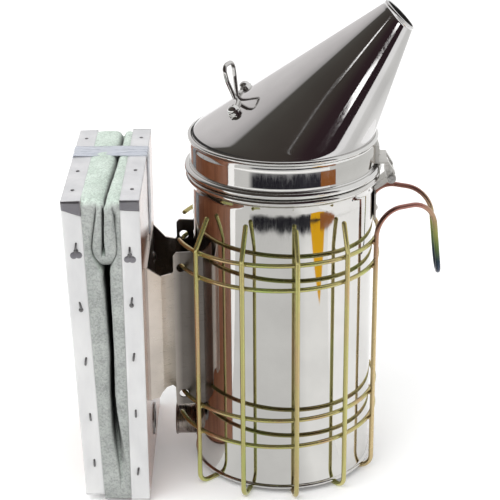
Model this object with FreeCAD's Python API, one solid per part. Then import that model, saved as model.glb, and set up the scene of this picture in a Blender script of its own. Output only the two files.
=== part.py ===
import FreeCAD, Part
import math
import os
from FreeCAD import Vector

# Bee smoker: stainless fire chamber with a hinged cone lid, a wire heat guard with a
# hanging hook, and a two-board bellows.  Millimetres, +Z up, origin on the surface it
# stands on, under the chamber's axis.  +X points to the nozzle, hinge and hook, -X to
# the bellows, and the XZ plane is the plane of symmetry.

os.makedirs("parts", exist_ok=True)

# ---- driving dimensions -------------------------------------------------------------
CAN_R = 50.0            # outer radius of the fire chamber
SHEET = 0.6             # stainless sheet of chamber and lid
CAN_FOOT_Z = 3.0        # the chamber stands on the wire feet
CAN_SHOULDER_Z = 170.0
CAN_BEAD_Z = 176.0      # rolled bead that stops the lid
CAN_NECK_R = 49.4       # neck that the lid slips over
CAN_TOP_Z = 186.0

LID_R = 51.0            # outer radius of the lid's skirt
LID_CURL_Z = 180.3
LID_SEAM_Z = 197.7
CONE_BASE_R = 50.3
CONE_BASE_Z = 199.6
MOUTH_R = 9.85
MOUTH_X = 62.2
MOUTH_Z = 263.5
MOUTH_TILT = 45.0       # the mouth looks up and outwards, degrees from +Z towards +X

HINGE_X = 59.0
HINGE_Z = 174.0
PIN_R = 1.2
KNUCKLE_R = 2.7
HINGE_HALF_WIDTH = 10.0
KNUCKLE_SPLIT = 4.6     # half width of the middle knuckle
RUNNING_GAP = 0.05

RING_X = -3.6           # centre of the wire guard
RING_R = 56.6
RING_WIRE_R = 1.25
UPRIGHT_WIRE_R = 1.5
RING_HEIGHTS = {"top": 142.5, "upper": 128.3, "lower": 50.1, "bottom": 33.9}

BOARD_HALF_WIDTH = 57.3
BOARD_TOP_Z = 181.0
FRONT_X = -75.5         # outer face of the front board's strip
BOARD_T = 10.4          # board with its edging strip
STRIP_T = 0.7
REAR_FOOT_X = -100.5    # inner face of the rear board at its foot
REAR_FOOT_Z = 4.5
REAR_HEIGHT = 176.4
REAR_TILT = 1.85        # the rear board leans away at the top, degrees

TUBE_R = 8.7
TUBE_Z = 21.2
TUBE_END_X = -62.3


# ---- small helpers ------------------------------------------------------------------
def box(x0, x1, y0, y1, z0, z1):
    return Part.makeBox(x1 - x0, y1 - y0, z1 - z0, Vector(x0, y0, z0))


def rod(radius, start, end):
    start = Vector(*start)
    along = Vector(*end) - start
    return Part.makeCylinder(radius, along.Length, start, along)


def fuse(shapes):
    shapes = list(shapes)
    whole = shapes[0]
    if len(shapes) > 1:
        whole = shapes[0].fuse(shapes[1:])
    return whole.removeSplitter()


def group(shapes):
    return Part.makeCompound(list(shapes))


def revolved(points):
    """Solid of revolution about Z from a closed outline of (radius, z) points."""
    corners = [Vector(r, 0, z) for r, z in points]
    face = Part.Face(Part.makePolygon(corners + [corners[0]]))
    return face.revolve(Vector(0, 0, 0), Vector(0, 0, 1), 360)


def bead(major, minor, z):
    return Part.makeTorus(major, minor, Vector(0, 0, z), Vector(0, 0, 1))


def prism_y(points, y0, y1):
    """Outline of (x, z) points extruded along Y."""
    corners = [Vector(x, y0, z) for x, z in points]
    face = Part.Face(Part.makePolygon(corners + [corners[0]]))
    return face.extrude(Vector(0, y1 - y0, 0))


def bent_wire(points, radius, bend):
    """Round wire along straight runs joined by tangent arcs of about one bend radius."""
    nodes = [Vector(*p) for p in points]
    edges = []
    last = nodes[0]
    for before, here, after in zip(nodes, nodes[1:], nodes[2:]):
        to_here = (here - before).normalize()
        to_next = (after - here).normalize()
        turn = to_here.getAngle(to_next)
        room = 0.49 * min((here - before).Length, (after - here).Length)
        trim = min(bend * math.tan(turn / 2), room)
        arc_r = trim / math.tan(turn / 2)
        start = here - to_here * trim
        end = here + to_next * trim
        inward = (to_next - to_here).normalize()
        middle = here + inward * (arc_r / math.cos(turn / 2) - arc_r)
        edges.append(Part.LineSegment(last, start).toShape())
        edges.append(Part.Arc(start, middle, end).toShape())
        last = end
    edges.append(Part.LineSegment(last, nodes[-1]).toShape())
    path = Part.Wire(edges)
    ring = Part.Wire(Part.Circle(nodes[0], nodes[1] - nodes[0], radius).toShape())
    solid = path.makePipeShell([ring], True, True)
    ideal = math.pi * radius ** 2 * path.Length
    if abs(solid.Volume / ideal - 1) > 0.02:
        print("wire volume is off:", solid.Volume, ideal)
    return solid


def on_guard(radius, degrees, z):
    """Point of the wire guard at an angle from +X."""
    a = math.radians(degrees)
    return (RING_X + radius * math.cos(a), radius * math.sin(a), z)


# ---- fire chamber -------------------------------------------------------------------
def chamber():
    """Straight can with a hem at the foot, a shoulder and bead, and a plain neck."""
    inner = CAN_R - SHEET
    outline = [
        (inner, CAN_FOOT_Z), (CAN_R + 1.0, CAN_FOOT_Z), (CAN_R + 1.0, CAN_FOOT_Z + 2.0),
        (CAN_R, CAN_FOOT_Z + 2.6), (CAN_R, CAN_SHOULDER_Z),
        (CAN_R + 1.6, CAN_SHOULDER_Z + 3.5), (CAN_R + 1.6, CAN_BEAD_Z),
        (CAN_NECK_R + 0.2, CAN_BEAD_Z + 1.6), (CAN_NECK_R - 0.4, CAN_TOP_Z),
        (CAN_NECK_R - 0.4 - SHEET, CAN_TOP_Z), (CAN_NECK_R - 0.4 - SHEET, CAN_BEAD_Z - 3.0),
        (inner, CAN_SHOULDER_Z),
    ]
    shell = revolved(outline).fuse(bead(CAN_R + 1.6, 1.9, CAN_BEAD_Z))
    shell = shell.cut(Part.makeCylinder(CAN_NECK_R - 0.4 - SHEET, 30, Vector(0, 0, 160)))
    opening = rod(TUBE_R - SHEET, (-CAN_R - 5, 0, TUBE_Z), (-CAN_R + 8, 0, TUBE_Z))
    return shell.cut(opening)


def chamber_base():
    """Pressed bottom, dished up by a millimetre or so at its middle."""
    r = CAN_R - SHEET
    z = CAN_FOOT_Z
    return revolved([(0, z + 1.6), (r - 6, z + 1.6), (r - 4, z), (r, z), (r, z + SHEET),
                     (r - 3.7, z + SHEET), (r - 5.7, z + 1.6 + SHEET), (0, z + 1.6 + SHEET)])


def air_inlet_tube():
    start = (-CAN_R + 4, 0, TUBE_Z)
    end = (TUBE_END_X, 0, TUBE_Z)
    tube = rod(TUBE_R, start, end)
    lip_centre = Vector(TUBE_END_X + 0.8, 0, TUBE_Z)
    tube = tube.fuse(Part.makeTorus(TUBE_R - 0.1, 0.8, lip_centre, Vector(1, 0, 0)))
    tube = tube.cut(rod(TUBE_R - SHEET, (-40, 0, TUBE_Z), (-70, 0, TUBE_Z)))
    return tube.cut(Part.makeCylinder(CAN_R, 60, Vector(0, 0, 0)))


GRATE_R = 46.0
GRATE_Z = 32.0
GRATE_T = 1.0
GRATE_HOLE_R = 3.0


def grate_plate():
    plate = Part.makeCylinder(GRATE_R, GRATE_T, Vector(0, 0, GRATE_Z))
    holes = []
    for count, ring_r in ((1, 0.0), (6, 13.0), (12, 25.5), (18, 38.0)):
        for i in range(count):
            a = 2 * math.pi * i / count
            centre = Vector(ring_r * math.cos(a), ring_r * math.sin(a), GRATE_Z - 1)
            holes.append(Part.makeCylinder(GRATE_HOLE_R, GRATE_T + 2, centre))
    return plate.cut(holes)


def grate_legs():
    """Three bent straps that hold the plate above the air inlet."""
    legs = []
    foot_z = CAN_FOOT_Z + 1.6 + SHEET
    for degrees in (60, 180, 300):
        leg = box(31.0, 32.2, -6, 6, foot_z, GRATE_Z)
        leg = leg.fuse(box(26.0, 32.2, -6, 6, GRATE_Z - 1.2, GRATE_Z))
        leg = leg.fuse(box(31.0, 37.0, -6, 6, foot_z, foot_z + 1.2))
        leg.rotate(Vector(0, 0, 0), Vector(0, 0, 1), degrees)
        legs.append(leg.removeSplitter())
    return group(legs)


# ---- hinge --------------------------------------------------------------------------
def knuckle(y0, y1):
    tube = rod(KNUCKLE_R, (HINGE_X, y0, HINGE_Z), (HINGE_X, y1, HINGE_Z))
    return tube


def pin_hole(radius):
    return rod(radius, (HINGE_X, -20, HINGE_Z), (HINGE_X, 20, HINGE_Z))


LEAF_T = 1.0
LEAF_FOOT_Z = 150.0


def can_hinge_leaf():
    """Strap down the can's wall, arm out under the bead, and the middle knuckle."""
    wall = CAN_R + 0.05
    strap = prism_y([(wall, LEAF_FOOT_Z), (wall + LEAF_T, LEAF_FOOT_Z),
                     (wall + LEAF_T, CAN_SHOULDER_Z - 4.6), (HINGE_X + 1.2, HINGE_Z - 2.2),
                     (HINGE_X - 1.4, HINGE_Z + 0.4), (wall, CAN_SHOULDER_Z - 2.6)],
                    -KNUCKLE_SPLIT, KNUCKLE_SPLIT)
    wide = prism_y([(wall, LEAF_FOOT_Z), (wall + LEAF_T, LEAF_FOOT_Z),
                    (wall + LEAF_T, CAN_SHOULDER_Z - 5), (wall, CAN_SHOULDER_Z - 5)],
                   -HINGE_HALF_WIDTH, HINGE_HALF_WIDTH)
    leaf = fuse([wide, strap, knuckle(-KNUCKLE_SPLIT, KNUCKLE_SPLIT)])
    inside = Part.makeCylinder(wall, 200, Vector(0, 0, 0))
    return leaf.cut([pin_hole(PIN_R), inside])


def lid_hinge_leaf():
    """Flange on the lid's skirt, arm over the curl, and the two outer knuckles."""
    wall = LID_R + 0.05
    sides = []
    for side in (-1, 1):
        inner_y = side * (KNUCKLE_SPLIT + 0.3)
        outer_y = side * HINGE_HALF_WIDTH
        low, high = sorted((inner_y, outer_y))
        arm = prism_y([(57.2, 183.8), (wall - 2, 183.8), (wall - 2, 182.8), (57.0, 182.8),
                       (60.2, 176.4), (61.2, 177.2)], low, high)
        sides += [arm, knuckle(low, high)]
    plate = box(wall - 2, 57.0, -HINGE_HALF_WIDTH, HINGE_HALF_WIDTH, 182.8, 183.8)
    flange = box(wall - 2, wall + LEAF_T, -HINGE_HALF_WIDTH, HINGE_HALF_WIDTH, 182.8, 193.0)
    leaf = fuse([flange, plate] + sides)
    inside = Part.makeCylinder(wall, 300, Vector(0, 0, 0))
    return leaf.cut([pin_hole(PIN_R + RUNNING_GAP), inside])


def hinge_pin():
    ends = HINGE_HALF_WIDTH + 1.4
    pin = rod(PIN_R, (HINGE_X, -ends, HINGE_Z), (HINGE_X, ends, HINGE_Z))
    heads = [rod(PIN_R + 0.9, (HINGE_X, s * (HINGE_HALF_WIDTH + 0.3), HINGE_Z),
                 (HINGE_X, s * ends, HINGE_Z)) for s in (-1, 1)]
    return fuse([pin] + heads)


def rivet_heads(wall, z, spread):
    """Pair of domed rivet heads on the leaf, with shanks through the leaf only."""
    heads = []
    for y in (-spread, spread):
        base = Vector(wall + LEAF_T, y, z)
        dome = Part.makeSphere(2.2, base - Vector(0.9, 0, 0))
        keep = box(wall + LEAF_T, wall + LEAF_T + 3, y - 3, y + 3, z - 3, z + 3)
        heads.append(dome.common(keep))
    return group(heads)


# ---- lid ----------------------------------------------------------------------------
def mouth_circle(radius, back=0.0):
    tilt = math.radians(MOUTH_TILT)
    normal = Vector(math.sin(tilt), 0, math.cos(tilt))
    centre = Vector(MOUTH_X, 0, MOUTH_Z) - normal * back
    return Part.Wire(Part.Circle(centre, normal, radius).toShape())


def flat_circle(radius, z):
    return Part.Wire(Part.Circle(Vector(0, 0, z), Vector(0, 0, 1), radius).toShape())


def cone_body(inset, ends):
    """Solid oblique cone on a short upright band, inset all round and longer at the ends."""
    sections = [flat_circle(CONE_BASE_R - inset, CONE_BASE_Z - 8 - ends),
                flat_circle(CONE_BASE_R - inset, CONE_BASE_Z),
                mouth_circle(MOUTH_R - inset, -ends)]
    return Part.makeLoft(sections, True, True)


def lid_cone():
    """Oblique cone from the round skirt to the tilted mouth."""
    return cone_body(0, 0).cut(cone_body(SHEET, 0.2))


def lid_collar():
    """Skirt that slips over the chamber's neck, with a curl below and a seam above."""
    inner = LID_R - SHEET
    skirt = revolved([(inner, LID_CURL_Z - 1.0), (LID_R, LID_CURL_Z - 1.0),
                      (LID_R, LID_SEAM_Z), (inner, LID_SEAM_Z)])
    collar = fuse([skirt, bead(52.2, 1.9, LID_CURL_Z), bead(50.8, 1.3, LID_SEAM_Z)])
    return collar.cut(Part.makeCylinder(inner, 40, Vector(0, 0, 170)))


HANDLE_WIRE_R = 1.2
HANDLE_X = -25.4
HANDLE_Z = 217.0


def cone_top_z(x):
    """Height of the cone's left outline in the plane of symmetry."""
    rise = (MOUTH_Z + MOUTH_R * math.sin(math.radians(MOUTH_TILT)) - CONE_BASE_Z)
    run = (MOUTH_X - MOUTH_R * math.cos(math.radians(MOUTH_TILT)) + CONE_BASE_R)
    return CONE_BASE_Z + (x + CONE_BASE_R) * rise / run


# Handle feet: where the two nuts sit on the cone, and the outward direction there.
FEET = ((-25.5, -15.0), (-19.3, 15.0))


def cone_height(x, y):
    """Height of the cone's outer surface over the point (x, y) on its left side."""
    low, high = CONE_BASE_Z, MOUTH_Z
    for _ in range(40):
        z = (low + high) / 2
        t = (z - CONE_BASE_Z) / (MOUTH_Z - CONE_BASE_Z)
        centre = MOUTH_X * t
        radius = CONE_BASE_R + (MOUTH_R - CONE_BASE_R) * t
        inside = math.hypot(x - centre, y) < radius
        low, high = (z, high) if inside else (low, z)
    return low


def cone_normal(x, y):
    step = 0.5
    slope_x = (cone_height(x + step, y) - cone_height(x - step, y)) / (2 * step)
    slope_y = (cone_height(x, y + step) - cone_height(x, y - step)) / (2 * step)
    return Vector(-slope_x, -slope_y, 1).normalize()


def lid_handle():
    """Omega of round wire, leaning back a little, whose feet run out to two nuts."""
    feet = []
    for x, y in FEET:
        surface = Vector(x, y, cone_height(x, y))
        feet.append(surface + cone_normal(x, y) * (HANDLE_WIRE_R + 0.35))
    near, far = feet
    route = [near, Vector(HANDLE_X + 1.2, -6.5, HANDLE_Z + 0.8),
             Vector(HANDLE_X - 0.6, -2.0, HANDLE_Z + 0.9),
             Vector(HANDLE_X - 4.6, -4.6, HANDLE_Z + 11.5),
             Vector(HANDLE_X - 6.6, -5.4, HANDLE_Z + 19.8),
             Vector(HANDLE_X - 1.6, 5.4, HANDLE_Z + 19.8),
             Vector(HANDLE_X - 0.6, 4.6, HANDLE_Z + 11.5),
             Vector(HANDLE_X + 0.4, 2.2, HANDLE_Z + 0.9),
             Vector(HANDLE_X + 1.2, 6.5, HANDLE_Z + 0.9), far]
    return bent_wire([tuple(p) for p in route], HANDLE_WIRE_R, 4.5)


def handle_nuts(handle, cone):
    """Domed nut and washer at each foot; the shank goes through the cone's sheet."""
    pieces = []
    for x, y in FEET:
        surface = Vector(x, y, cone_height(x, y))
        normal = cone_normal(x, y)
        washer = Part.makeCylinder(3.9, 0.3, surface, normal)
        hexagon = Part.makeCylinder(3.6, 2.6, surface + normal * 0.3, normal)
        dome = Part.makeSphere(3.1, surface + normal * 2.7)
        nut = fuse([washer, hexagon, dome]).cut([handle, cone])
        pieces.append(max(nut.Solids, key=lambda solid: solid.Volume))
    return group(pieces)


# ---- wire guard ---------------------------------------------------------------------
def guard_ring(z, start, end):
    """Open ring: an arc of round wire from one angle to the other, in degrees."""
    points = [Vector(*on_guard(RING_R, a, z)) for a in (start, (start + end) / 2, end)]
    path = Part.Wire(Part.Arc(*points).toShape())
    a = math.radians(start)
    tangent = Vector(-math.sin(a), math.cos(a), 0)
    ring = Part.Wire(Part.Circle(points[0], tangent, RING_WIRE_R).toShape())
    return path.makePipeShell([ring], True, True)


UPRIGHT_R = RING_R + RING_WIRE_R + UPRIGHT_WIRE_R + 0.05
UPRIGHT_TOP_Z = 162.0
LEAN_Z = 145.0
FOOT_INSET = 16.0
UPRIGHT_ANGLES = (51.0, 80.0, 109.0, 138.0)
HOOK_ANGLE = 24.0


def touching_can(degrees):
    """Guard radius at which an upright's tip comes to rest against the can."""
    a = math.radians(degrees)
    reach = CAN_R + UPRIGHT_WIRE_R + 0.3
    return -RING_X * math.cos(a) + math.sqrt(reach ** 2 - (RING_X * math.sin(a)) ** 2)


def upright(degrees):
    foot_z = UPRIGHT_WIRE_R
    route = [on_guard(UPRIGHT_R - FOOT_INSET, degrees, foot_z),
             on_guard(UPRIGHT_R, degrees, foot_z),
             on_guard(UPRIGHT_R, degrees, LEAN_Z),
             on_guard(touching_can(degrees), degrees, UPRIGHT_TOP_Z)]
    return bent_wire(route, UPRIGHT_WIRE_R, 6.0)


HOOK_TOP_Z = 160.4
HOOK_OUTER_X = 82.5
HOOK_OUTER_Y = 9.0
HOOK_TIP_X = 87.3
HOOK_TIP_Y = 8.5
HOOK_TIP_Z = 115.8


def hanging_hook():
    """Hairpin of wire: two legs up the guard, closing in over an arch, joined at the tip."""
    x, y, _ = on_guard(UPRIGHT_R, HOOK_ANGLE, 0)
    inner = on_guard(UPRIGHT_R - FOOT_INSET, HOOK_ANGLE, UPRIGHT_WIRE_R)
    leg = [inner, (x, y, UPRIGHT_WIRE_R), (x, y, HOOK_TOP_Z),
           (HOOK_OUTER_X, HOOK_OUTER_Y, HOOK_TOP_Z), (HOOK_TIP_X, HOOK_TIP_Y, HOOK_TIP_Z)]
    mirrored = [(px, -py, pz) for px, py, pz in reversed(leg)]
    return bent_wire(leg + mirrored, UPRIGHT_WIRE_R, 15.1)


# ---- bellows bracket ----------------------------------------------------------------
BRACKET_T = 1.2
WING_TOP_Z = 137.4
WING_FOOT_Z = 44.0
WING_HOLE_X = -56.3
WING_HOLE_R = 2.6
WING_HOLES_Z = (RING_HEIGHTS["upper"], RING_HEIGHTS["lower"] + 0.6)
PLATE_Y = 33.6


def bellows_bracket():
    """Bent sheet: a plate on the board and two wings that reach the can."""
    back = FRONT_X + BRACKET_T
    plate = box(FRONT_X, back, -PLATE_Y, PLATE_Y, 51.0, 132.3)
    side_view = [(FRONT_X, 132.3), (-67.2, 125.0), (-61.6, 125.2), (-60.6, 126.4),
                 (-60.6, 135.6), (-59.0, WING_TOP_Z), (-40.0, WING_TOP_Z),
                 (-40.0, WING_FOOT_Z), (-60.6, WING_FOOT_Z), (-60.8, 55.0), (-62.4, 57.0),
                 (-65.6, 56.6), (-68.2, 54.0), (-69.6, 51.2), (FRONT_X, 51.0)]
    profile = prism_y(side_view, -60, 60)
    wings = []
    for side in (-1, 1):
        outer = [(FRONT_X, PLATE_Y), (-67.2, 29.3), (-60.5, 25.2), (-43.0, 23.2)]
        inner = [(x - 0.45, y - BRACKET_T) for x, y in reversed(outer)]
        inner[-1] = (FRONT_X, PLATE_Y - 1.5)
        corners = [Vector(x, side * y, 40) for x, y in outer + inner]
        face = Part.Face(Part.makePolygon(corners + [corners[0]]))
        wings.append(face.extrude(Vector(0, 0, 100)).common(profile))
    sheet = fuse([plate] + wings)
    cuts = [Part.makeCylinder(CAN_R + 0.05, 200, Vector(0, 0, 0))]
    for z in WING_HOLES_Z:
        cuts.append(rod(WING_HOLE_R, (WING_HOLE_X, -40, z), (WING_HOLE_X, 40, z)))
    return sheet.cut(cuts)


# ---- bellows ------------------------------------------------------------------------
SCREW_SPOTS = [(y, z) for y in (-20, 20) for z in (68, 116)]


def board_core(x0, x1, top):
    """Plywood board, inset on all four edges by the edging strip."""
    edge = BOARD_HALF_WIDTH - STRIP_T
    return box(x0, x1, -edge, edge, STRIP_T, top - STRIP_T)


def edging(x0, x1, top):
    """Four metal strips round a board, the top and foot ones lapping the side ones."""
    w = BOARD_HALF_WIDTH
    t = STRIP_T
    return {
        "top": box(x0, x1, -w, w, top - t, top),
        "foot": box(x0, x1, -w, w, 0, t),
        "near": box(x0, x1, -w, -w + t, t, top - t),
        "far": box(x0, x1, w - t, w, t, top - t),
    }


NAIL_HEAD_R = 1.7
SIDE_NAIL_HEIGHTS = (15, 51, 87.5, 122, 150)
TOP_NAIL_PLACES = (-40, -11, 43)


def nails(x, top):
    """Round-headed edging nails along the top and both sides of one board."""
    heads = []
    w = BOARD_HALF_WIDTH
    for side in (-1, 1):
        for z in SIDE_NAIL_HEIGHTS:
            heads.append(rod(NAIL_HEAD_R, (x, side * w, z), (x, side * (w + 0.6), z)))
            heads[-1] = heads[-1].fuse(rod(0.7, (x, side * (w - 8), z), (x, side * w, z)))
    for y in TOP_NAIL_PLACES:
        head = rod(NAIL_HEAD_R, (x, y, top), (x, y, top + 0.6))
        heads.append(head.fuse(rod(0.7, (x, y, top - 8), (x, y, top))))
    return group([head.removeSplitter() for head in heads])


def lean(shape):
    """Move a piece built against an upright rear board to the board's real place."""
    placed = shape.copy()
    placed.rotate(Vector(0, 0, 0), Vector(0, 1, 0), -REAR_TILT)
    placed.translate(Vector(REAR_FOOT_X, 0, REAR_FOOT_Z))
    return placed


def rear_inner_x(z):
    return REAR_FOOT_X - (z - REAR_FOOT_Z) * math.tan(math.radians(REAR_TILT))


OUTLET_R = 6.5
INTAKE_R = 11.0
INTAKE_Z = 62.0         # above the rear board's foot
FLAP_T = 1.2
FLAP_HALF = 17.0
FLAP_ROOT_Z = 82.0
STRIP_ROOT_GAP = 0.8


def outlet_eyelet():
    """Flanged metal eyelet that lines the air outlet through the front board."""
    flange = rod(9.5, (FRONT_X, 0, TUBE_Z), (FRONT_X + 0.8, 0, TUBE_Z))
    barrel = rod(OUTLET_R, (FRONT_X - BOARD_T, 0, TUBE_Z), (FRONT_X, 0, TUBE_Z))
    bore = rod(OUTLET_R - 0.5, (FRONT_X - 20, 0, TUBE_Z), (FRONT_X + 5, 0, TUBE_Z))
    return flange.fuse(barrel).cut(bore)


def bracket_screws():
    screws = []
    for y, z in SCREW_SPOTS:
        head_x = FRONT_X + BRACKET_T
        dome = Part.makeSphere(4.0, Vector(head_x - 2.0, y, z))
        head = dome.common(box(head_x, head_x + 5, y - 5, y + 5, z - 5, z + 5))
        screws.append(head.fuse(rod(1.6, (FRONT_X - 8, y, z), (head_x, y, z))))
    return group([screw.removeSplitter() for screw in screws])


def valve_flap():
    return box(0.05, 0.05 + FLAP_T, -FLAP_HALF, FLAP_HALF, FLAP_ROOT_Z - 34, FLAP_ROOT_Z)


def valve_strip():
    low = FLAP_ROOT_Z + STRIP_ROOT_GAP
    return box(0, 1.6, -FLAP_HALF, FLAP_HALF, low, low + 7)


def valve_tacks():
    z = FLAP_ROOT_Z + STRIP_ROOT_GAP + 3.5
    tacks = []
    for y in (-12, 0, 12):
        tacks.append(rod(1.8, (1.6, y, z), (2.3, y, z)).fuse(rod(0.6, (-5, y, z), (1.6, y, z))))
    return group([tack.removeSplitter() for tack in tacks])


SKIN_T = 1.0
SKIN_INSET = 1.6


def bellows_skin():
    """Leatherette wall between the boards: both sides and the top."""
    def block(inset, ends):
        low_z = REAR_FOOT_Z + 2.5 - ends
        high_z = BOARD_TOP_Z - SKIN_INSET - inset
        clear = 0.3 - ends
        outline = [(FRONT_X - BOARD_T - clear, low_z), (FRONT_X - BOARD_T - clear, high_z),
                   (rear_inner_x(high_z) + clear, high_z), (rear_inner_x(low_z) + clear, low_z)]
        half = BOARD_HALF_WIDTH - SKIN_INSET - inset
        return prism_y(outline, -half, half)
    return block(0, 0).cut(block(SKIN_T, 1.0))


def board_hinge_strip():
    """Leather strip that joins the two boards along their feet."""
    low = REAR_FOOT_Z + 1.0
    half = BOARD_HALF_WIDTH - SKIN_INSET
    return box(REAR_FOOT_X + 0.4, FRONT_X - BOARD_T - 0.3, -half, half, low, low + 1.2)


SPRING_R = 8.0
SPRING_WIRE_R = 0.8
SPRING_Z = 138.0
SPRING_TURNS = 5


def bellows_spring():
    start_x = FRONT_X - BOARD_T - 0.3 - SPRING_WIRE_R
    end_x = rear_inner_x(SPRING_Z - SPRING_R - 1) + 0.3 + SPRING_WIRE_R
    length = start_x - end_x
    coil = Part.makeHelix(length / SPRING_TURNS, length, SPRING_R)
    coil.rotate(Vector(0, 0, 0), Vector(0, 1, 0), -90)
    coil.translate(Vector(start_x, 0, SPRING_Z))
    first = coil.Edges[0]
    start = first.valueAt(first.FirstParameter)
    tangent = first.tangentAt(first.FirstParameter)
    ring = Part.Wire(Part.Circle(start, tangent, SPRING_WIRE_R).toShape())
    return Part.Wire(coil.Edges).makePipeShell([ring], True, True)


BAND_T = 0.4
BAND_Y0 = 10.5
BAND_Y1 = 26.0
BAND_END_Z = 134.0


def storage_band():
    """Soft strap over both boards that keeps the bellows shut in storage."""
    top = BOARD_TOP_Z + 0.05
    front = box(FRONT_X, FRONT_X + BAND_T, BAND_Y0, BAND_Y1, BAND_END_Z, top + BAND_T)
    outer = -BOARD_T
    rear = lean(box(outer - BAND_T, outer, BAND_Y0, BAND_Y1,
                    BAND_END_Z - REAR_FOOT_Z, REAR_HEIGHT + 0.4))
    rear_x = rear_inner_x(BOARD_TOP_Z) - BOARD_T - BAND_T
    over = box(rear_x, FRONT_X + BAND_T, BAND_Y0, BAND_Y1, top, top + BAND_T)
    return fuse([front, over, rear])


# ---- put everything together --------------------------------------------------------
def front_bellows():
    x0 = FRONT_X - BOARD_T
    x1 = FRONT_X
    tacks = nails((x0 + x1) / 2, BOARD_TOP_Z)
    screws = bracket_screws()
    air_hole = rod(OUTLET_R, (x0 - 1, 0, TUBE_Z), (x1 + 1, 0, TUBE_Z))
    nodes = {"front_board": board_core(x0, x1, BOARD_TOP_Z).cut([air_hole, tacks, screws]),
             "front_nails": tacks, "bracket_screws": screws,
             "bellows_bracket": bellows_bracket().cut(screws),
             "outlet_eyelet": outlet_eyelet()}
    for place, strip in edging(x0, x1, BOARD_TOP_Z).items():
        nodes["front_strip_" + place] = strip.cut(tacks)
    return nodes


def rear_bellows():
    tacks = nails(-BOARD_T / 2, REAR_HEIGHT)
    flap_tacks = valve_tacks()
    intake = rod(INTAKE_R, (-BOARD_T - 1, 0, INTAKE_Z), (1, 0, INTAKE_Z))
    nodes = {"rear_board": board_core(-BOARD_T, 0, REAR_HEIGHT).cut([intake, tacks, flap_tacks]),
             "rear_nails": tacks, "valve_flap": valve_flap(),
             "valve_strip": valve_strip().cut(flap_tacks), "valve_tacks": flap_tacks}
    for place, strip in edging(-BOARD_T, 0, REAR_HEIGHT).items():
        nodes["rear_strip_" + place] = strip.cut(tacks)
    return {name: lean(shape) for name, shape in nodes.items()}


def lid():
    cone = lid_cone()
    handle = lid_handle()
    return {"lid_cone": cone, "lid_collar": lid_collar(),
            "lid_handle": handle.cut(cone), "handle_nuts": handle_nuts(handle, cone),
            "lid_hinge_leaf": lid_hinge_leaf(),
            "lid_leaf_rivets": rivet_heads(LID_R + 0.05, 188.2, 6.0)}


def guard():
    nodes = {}
    spans = {"top": (-161, 157), "upper": (-159.5, 159.5),
             "lower": (-159.5, 159.5), "bottom": (-164, 160)}
    for place, z in RING_HEIGHTS.items():
        nodes["guard_ring_" + place] = guard_ring(z, *spans[place])
    nodes["guard_uprights_near"] = group([upright(-a) for a in UPRIGHT_ANGLES])
    nodes["guard_uprights_far"] = group([upright(a) for a in UPRIGHT_ANGLES])
    nodes["hanging_hook"] = hanging_hook()
    return nodes


def fire_chamber():
    return {"chamber_shell": chamber(), "chamber_base": chamber_base(),
            "air_inlet_tube": air_inlet_tube(), "grate_plate": grate_plate(),
            "grate_legs": grate_legs(), "can_hinge_leaf": can_hinge_leaf(),
            "can_leaf_rivets": rivet_heads(CAN_R + 0.05, 156.0, 6.5),
            "hinge_pin": hinge_pin()}


nodes = {}
nodes.update(fire_chamber())
nodes.update(guard())
nodes.update(lid())
nodes.update(front_bellows())
nodes.update(rear_bellows())
nodes.update({"bellows_skin": bellows_skin(), "bellows_spring": bellows_spring(),
              "board_hinge_strip": board_hinge_strip(), "storage_band": storage_band()})

for name, shape in nodes.items():
    if not shape.isValid() or not shape.Solids:
        print("check the shape of", name)
    shape.exportStep("parts/" + name + ".step")
print(len(nodes), "nodes")
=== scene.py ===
import math
import random

import bmesh
import bpy
from mathutils import Matrix, Vector


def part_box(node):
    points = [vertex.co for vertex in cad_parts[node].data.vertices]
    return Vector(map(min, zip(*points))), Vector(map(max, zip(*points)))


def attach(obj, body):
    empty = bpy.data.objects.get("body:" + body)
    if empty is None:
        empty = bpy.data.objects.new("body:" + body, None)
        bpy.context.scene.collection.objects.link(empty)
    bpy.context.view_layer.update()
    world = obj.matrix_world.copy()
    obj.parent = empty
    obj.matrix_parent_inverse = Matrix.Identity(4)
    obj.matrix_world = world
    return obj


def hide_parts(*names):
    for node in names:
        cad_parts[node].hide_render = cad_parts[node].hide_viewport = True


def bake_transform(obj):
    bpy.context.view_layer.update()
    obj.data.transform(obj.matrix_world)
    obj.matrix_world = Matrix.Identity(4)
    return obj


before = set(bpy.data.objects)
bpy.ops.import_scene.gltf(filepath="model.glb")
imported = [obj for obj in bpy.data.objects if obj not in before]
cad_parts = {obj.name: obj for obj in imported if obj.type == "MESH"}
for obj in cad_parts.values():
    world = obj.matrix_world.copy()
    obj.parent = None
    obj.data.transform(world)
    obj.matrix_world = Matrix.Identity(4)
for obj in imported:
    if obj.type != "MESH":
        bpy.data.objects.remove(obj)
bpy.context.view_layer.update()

MM = 0.001
BODY = "smoker_body"
LID = "lid"
REAR = "rear_bellows"
rng = random.Random(7)

# ---- sizes read from the frame ------------------------------------------------------
can_low, can_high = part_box("chamber_shell")
ring_low, ring_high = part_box("guard_ring_top")
strip_low, strip_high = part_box("front_strip_top")
tube_low, tube_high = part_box("air_inlet_tube")
band_low, band_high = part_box("storage_band")

SHEET = 0.6 * MM                      # thickness of the can's and the lid's steel
CAN_R = 50.0 * MM
CAN_FOOT = can_low[2]
CAN_TOP = can_high[2]
BEAD_R = 1.9 * MM                     # the round bead below the can's neck
BEAD_Z = 176.0 * MM
SHOULDER_Z = 170.0 * MM
NECK_R = 49.0 * MM

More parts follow.
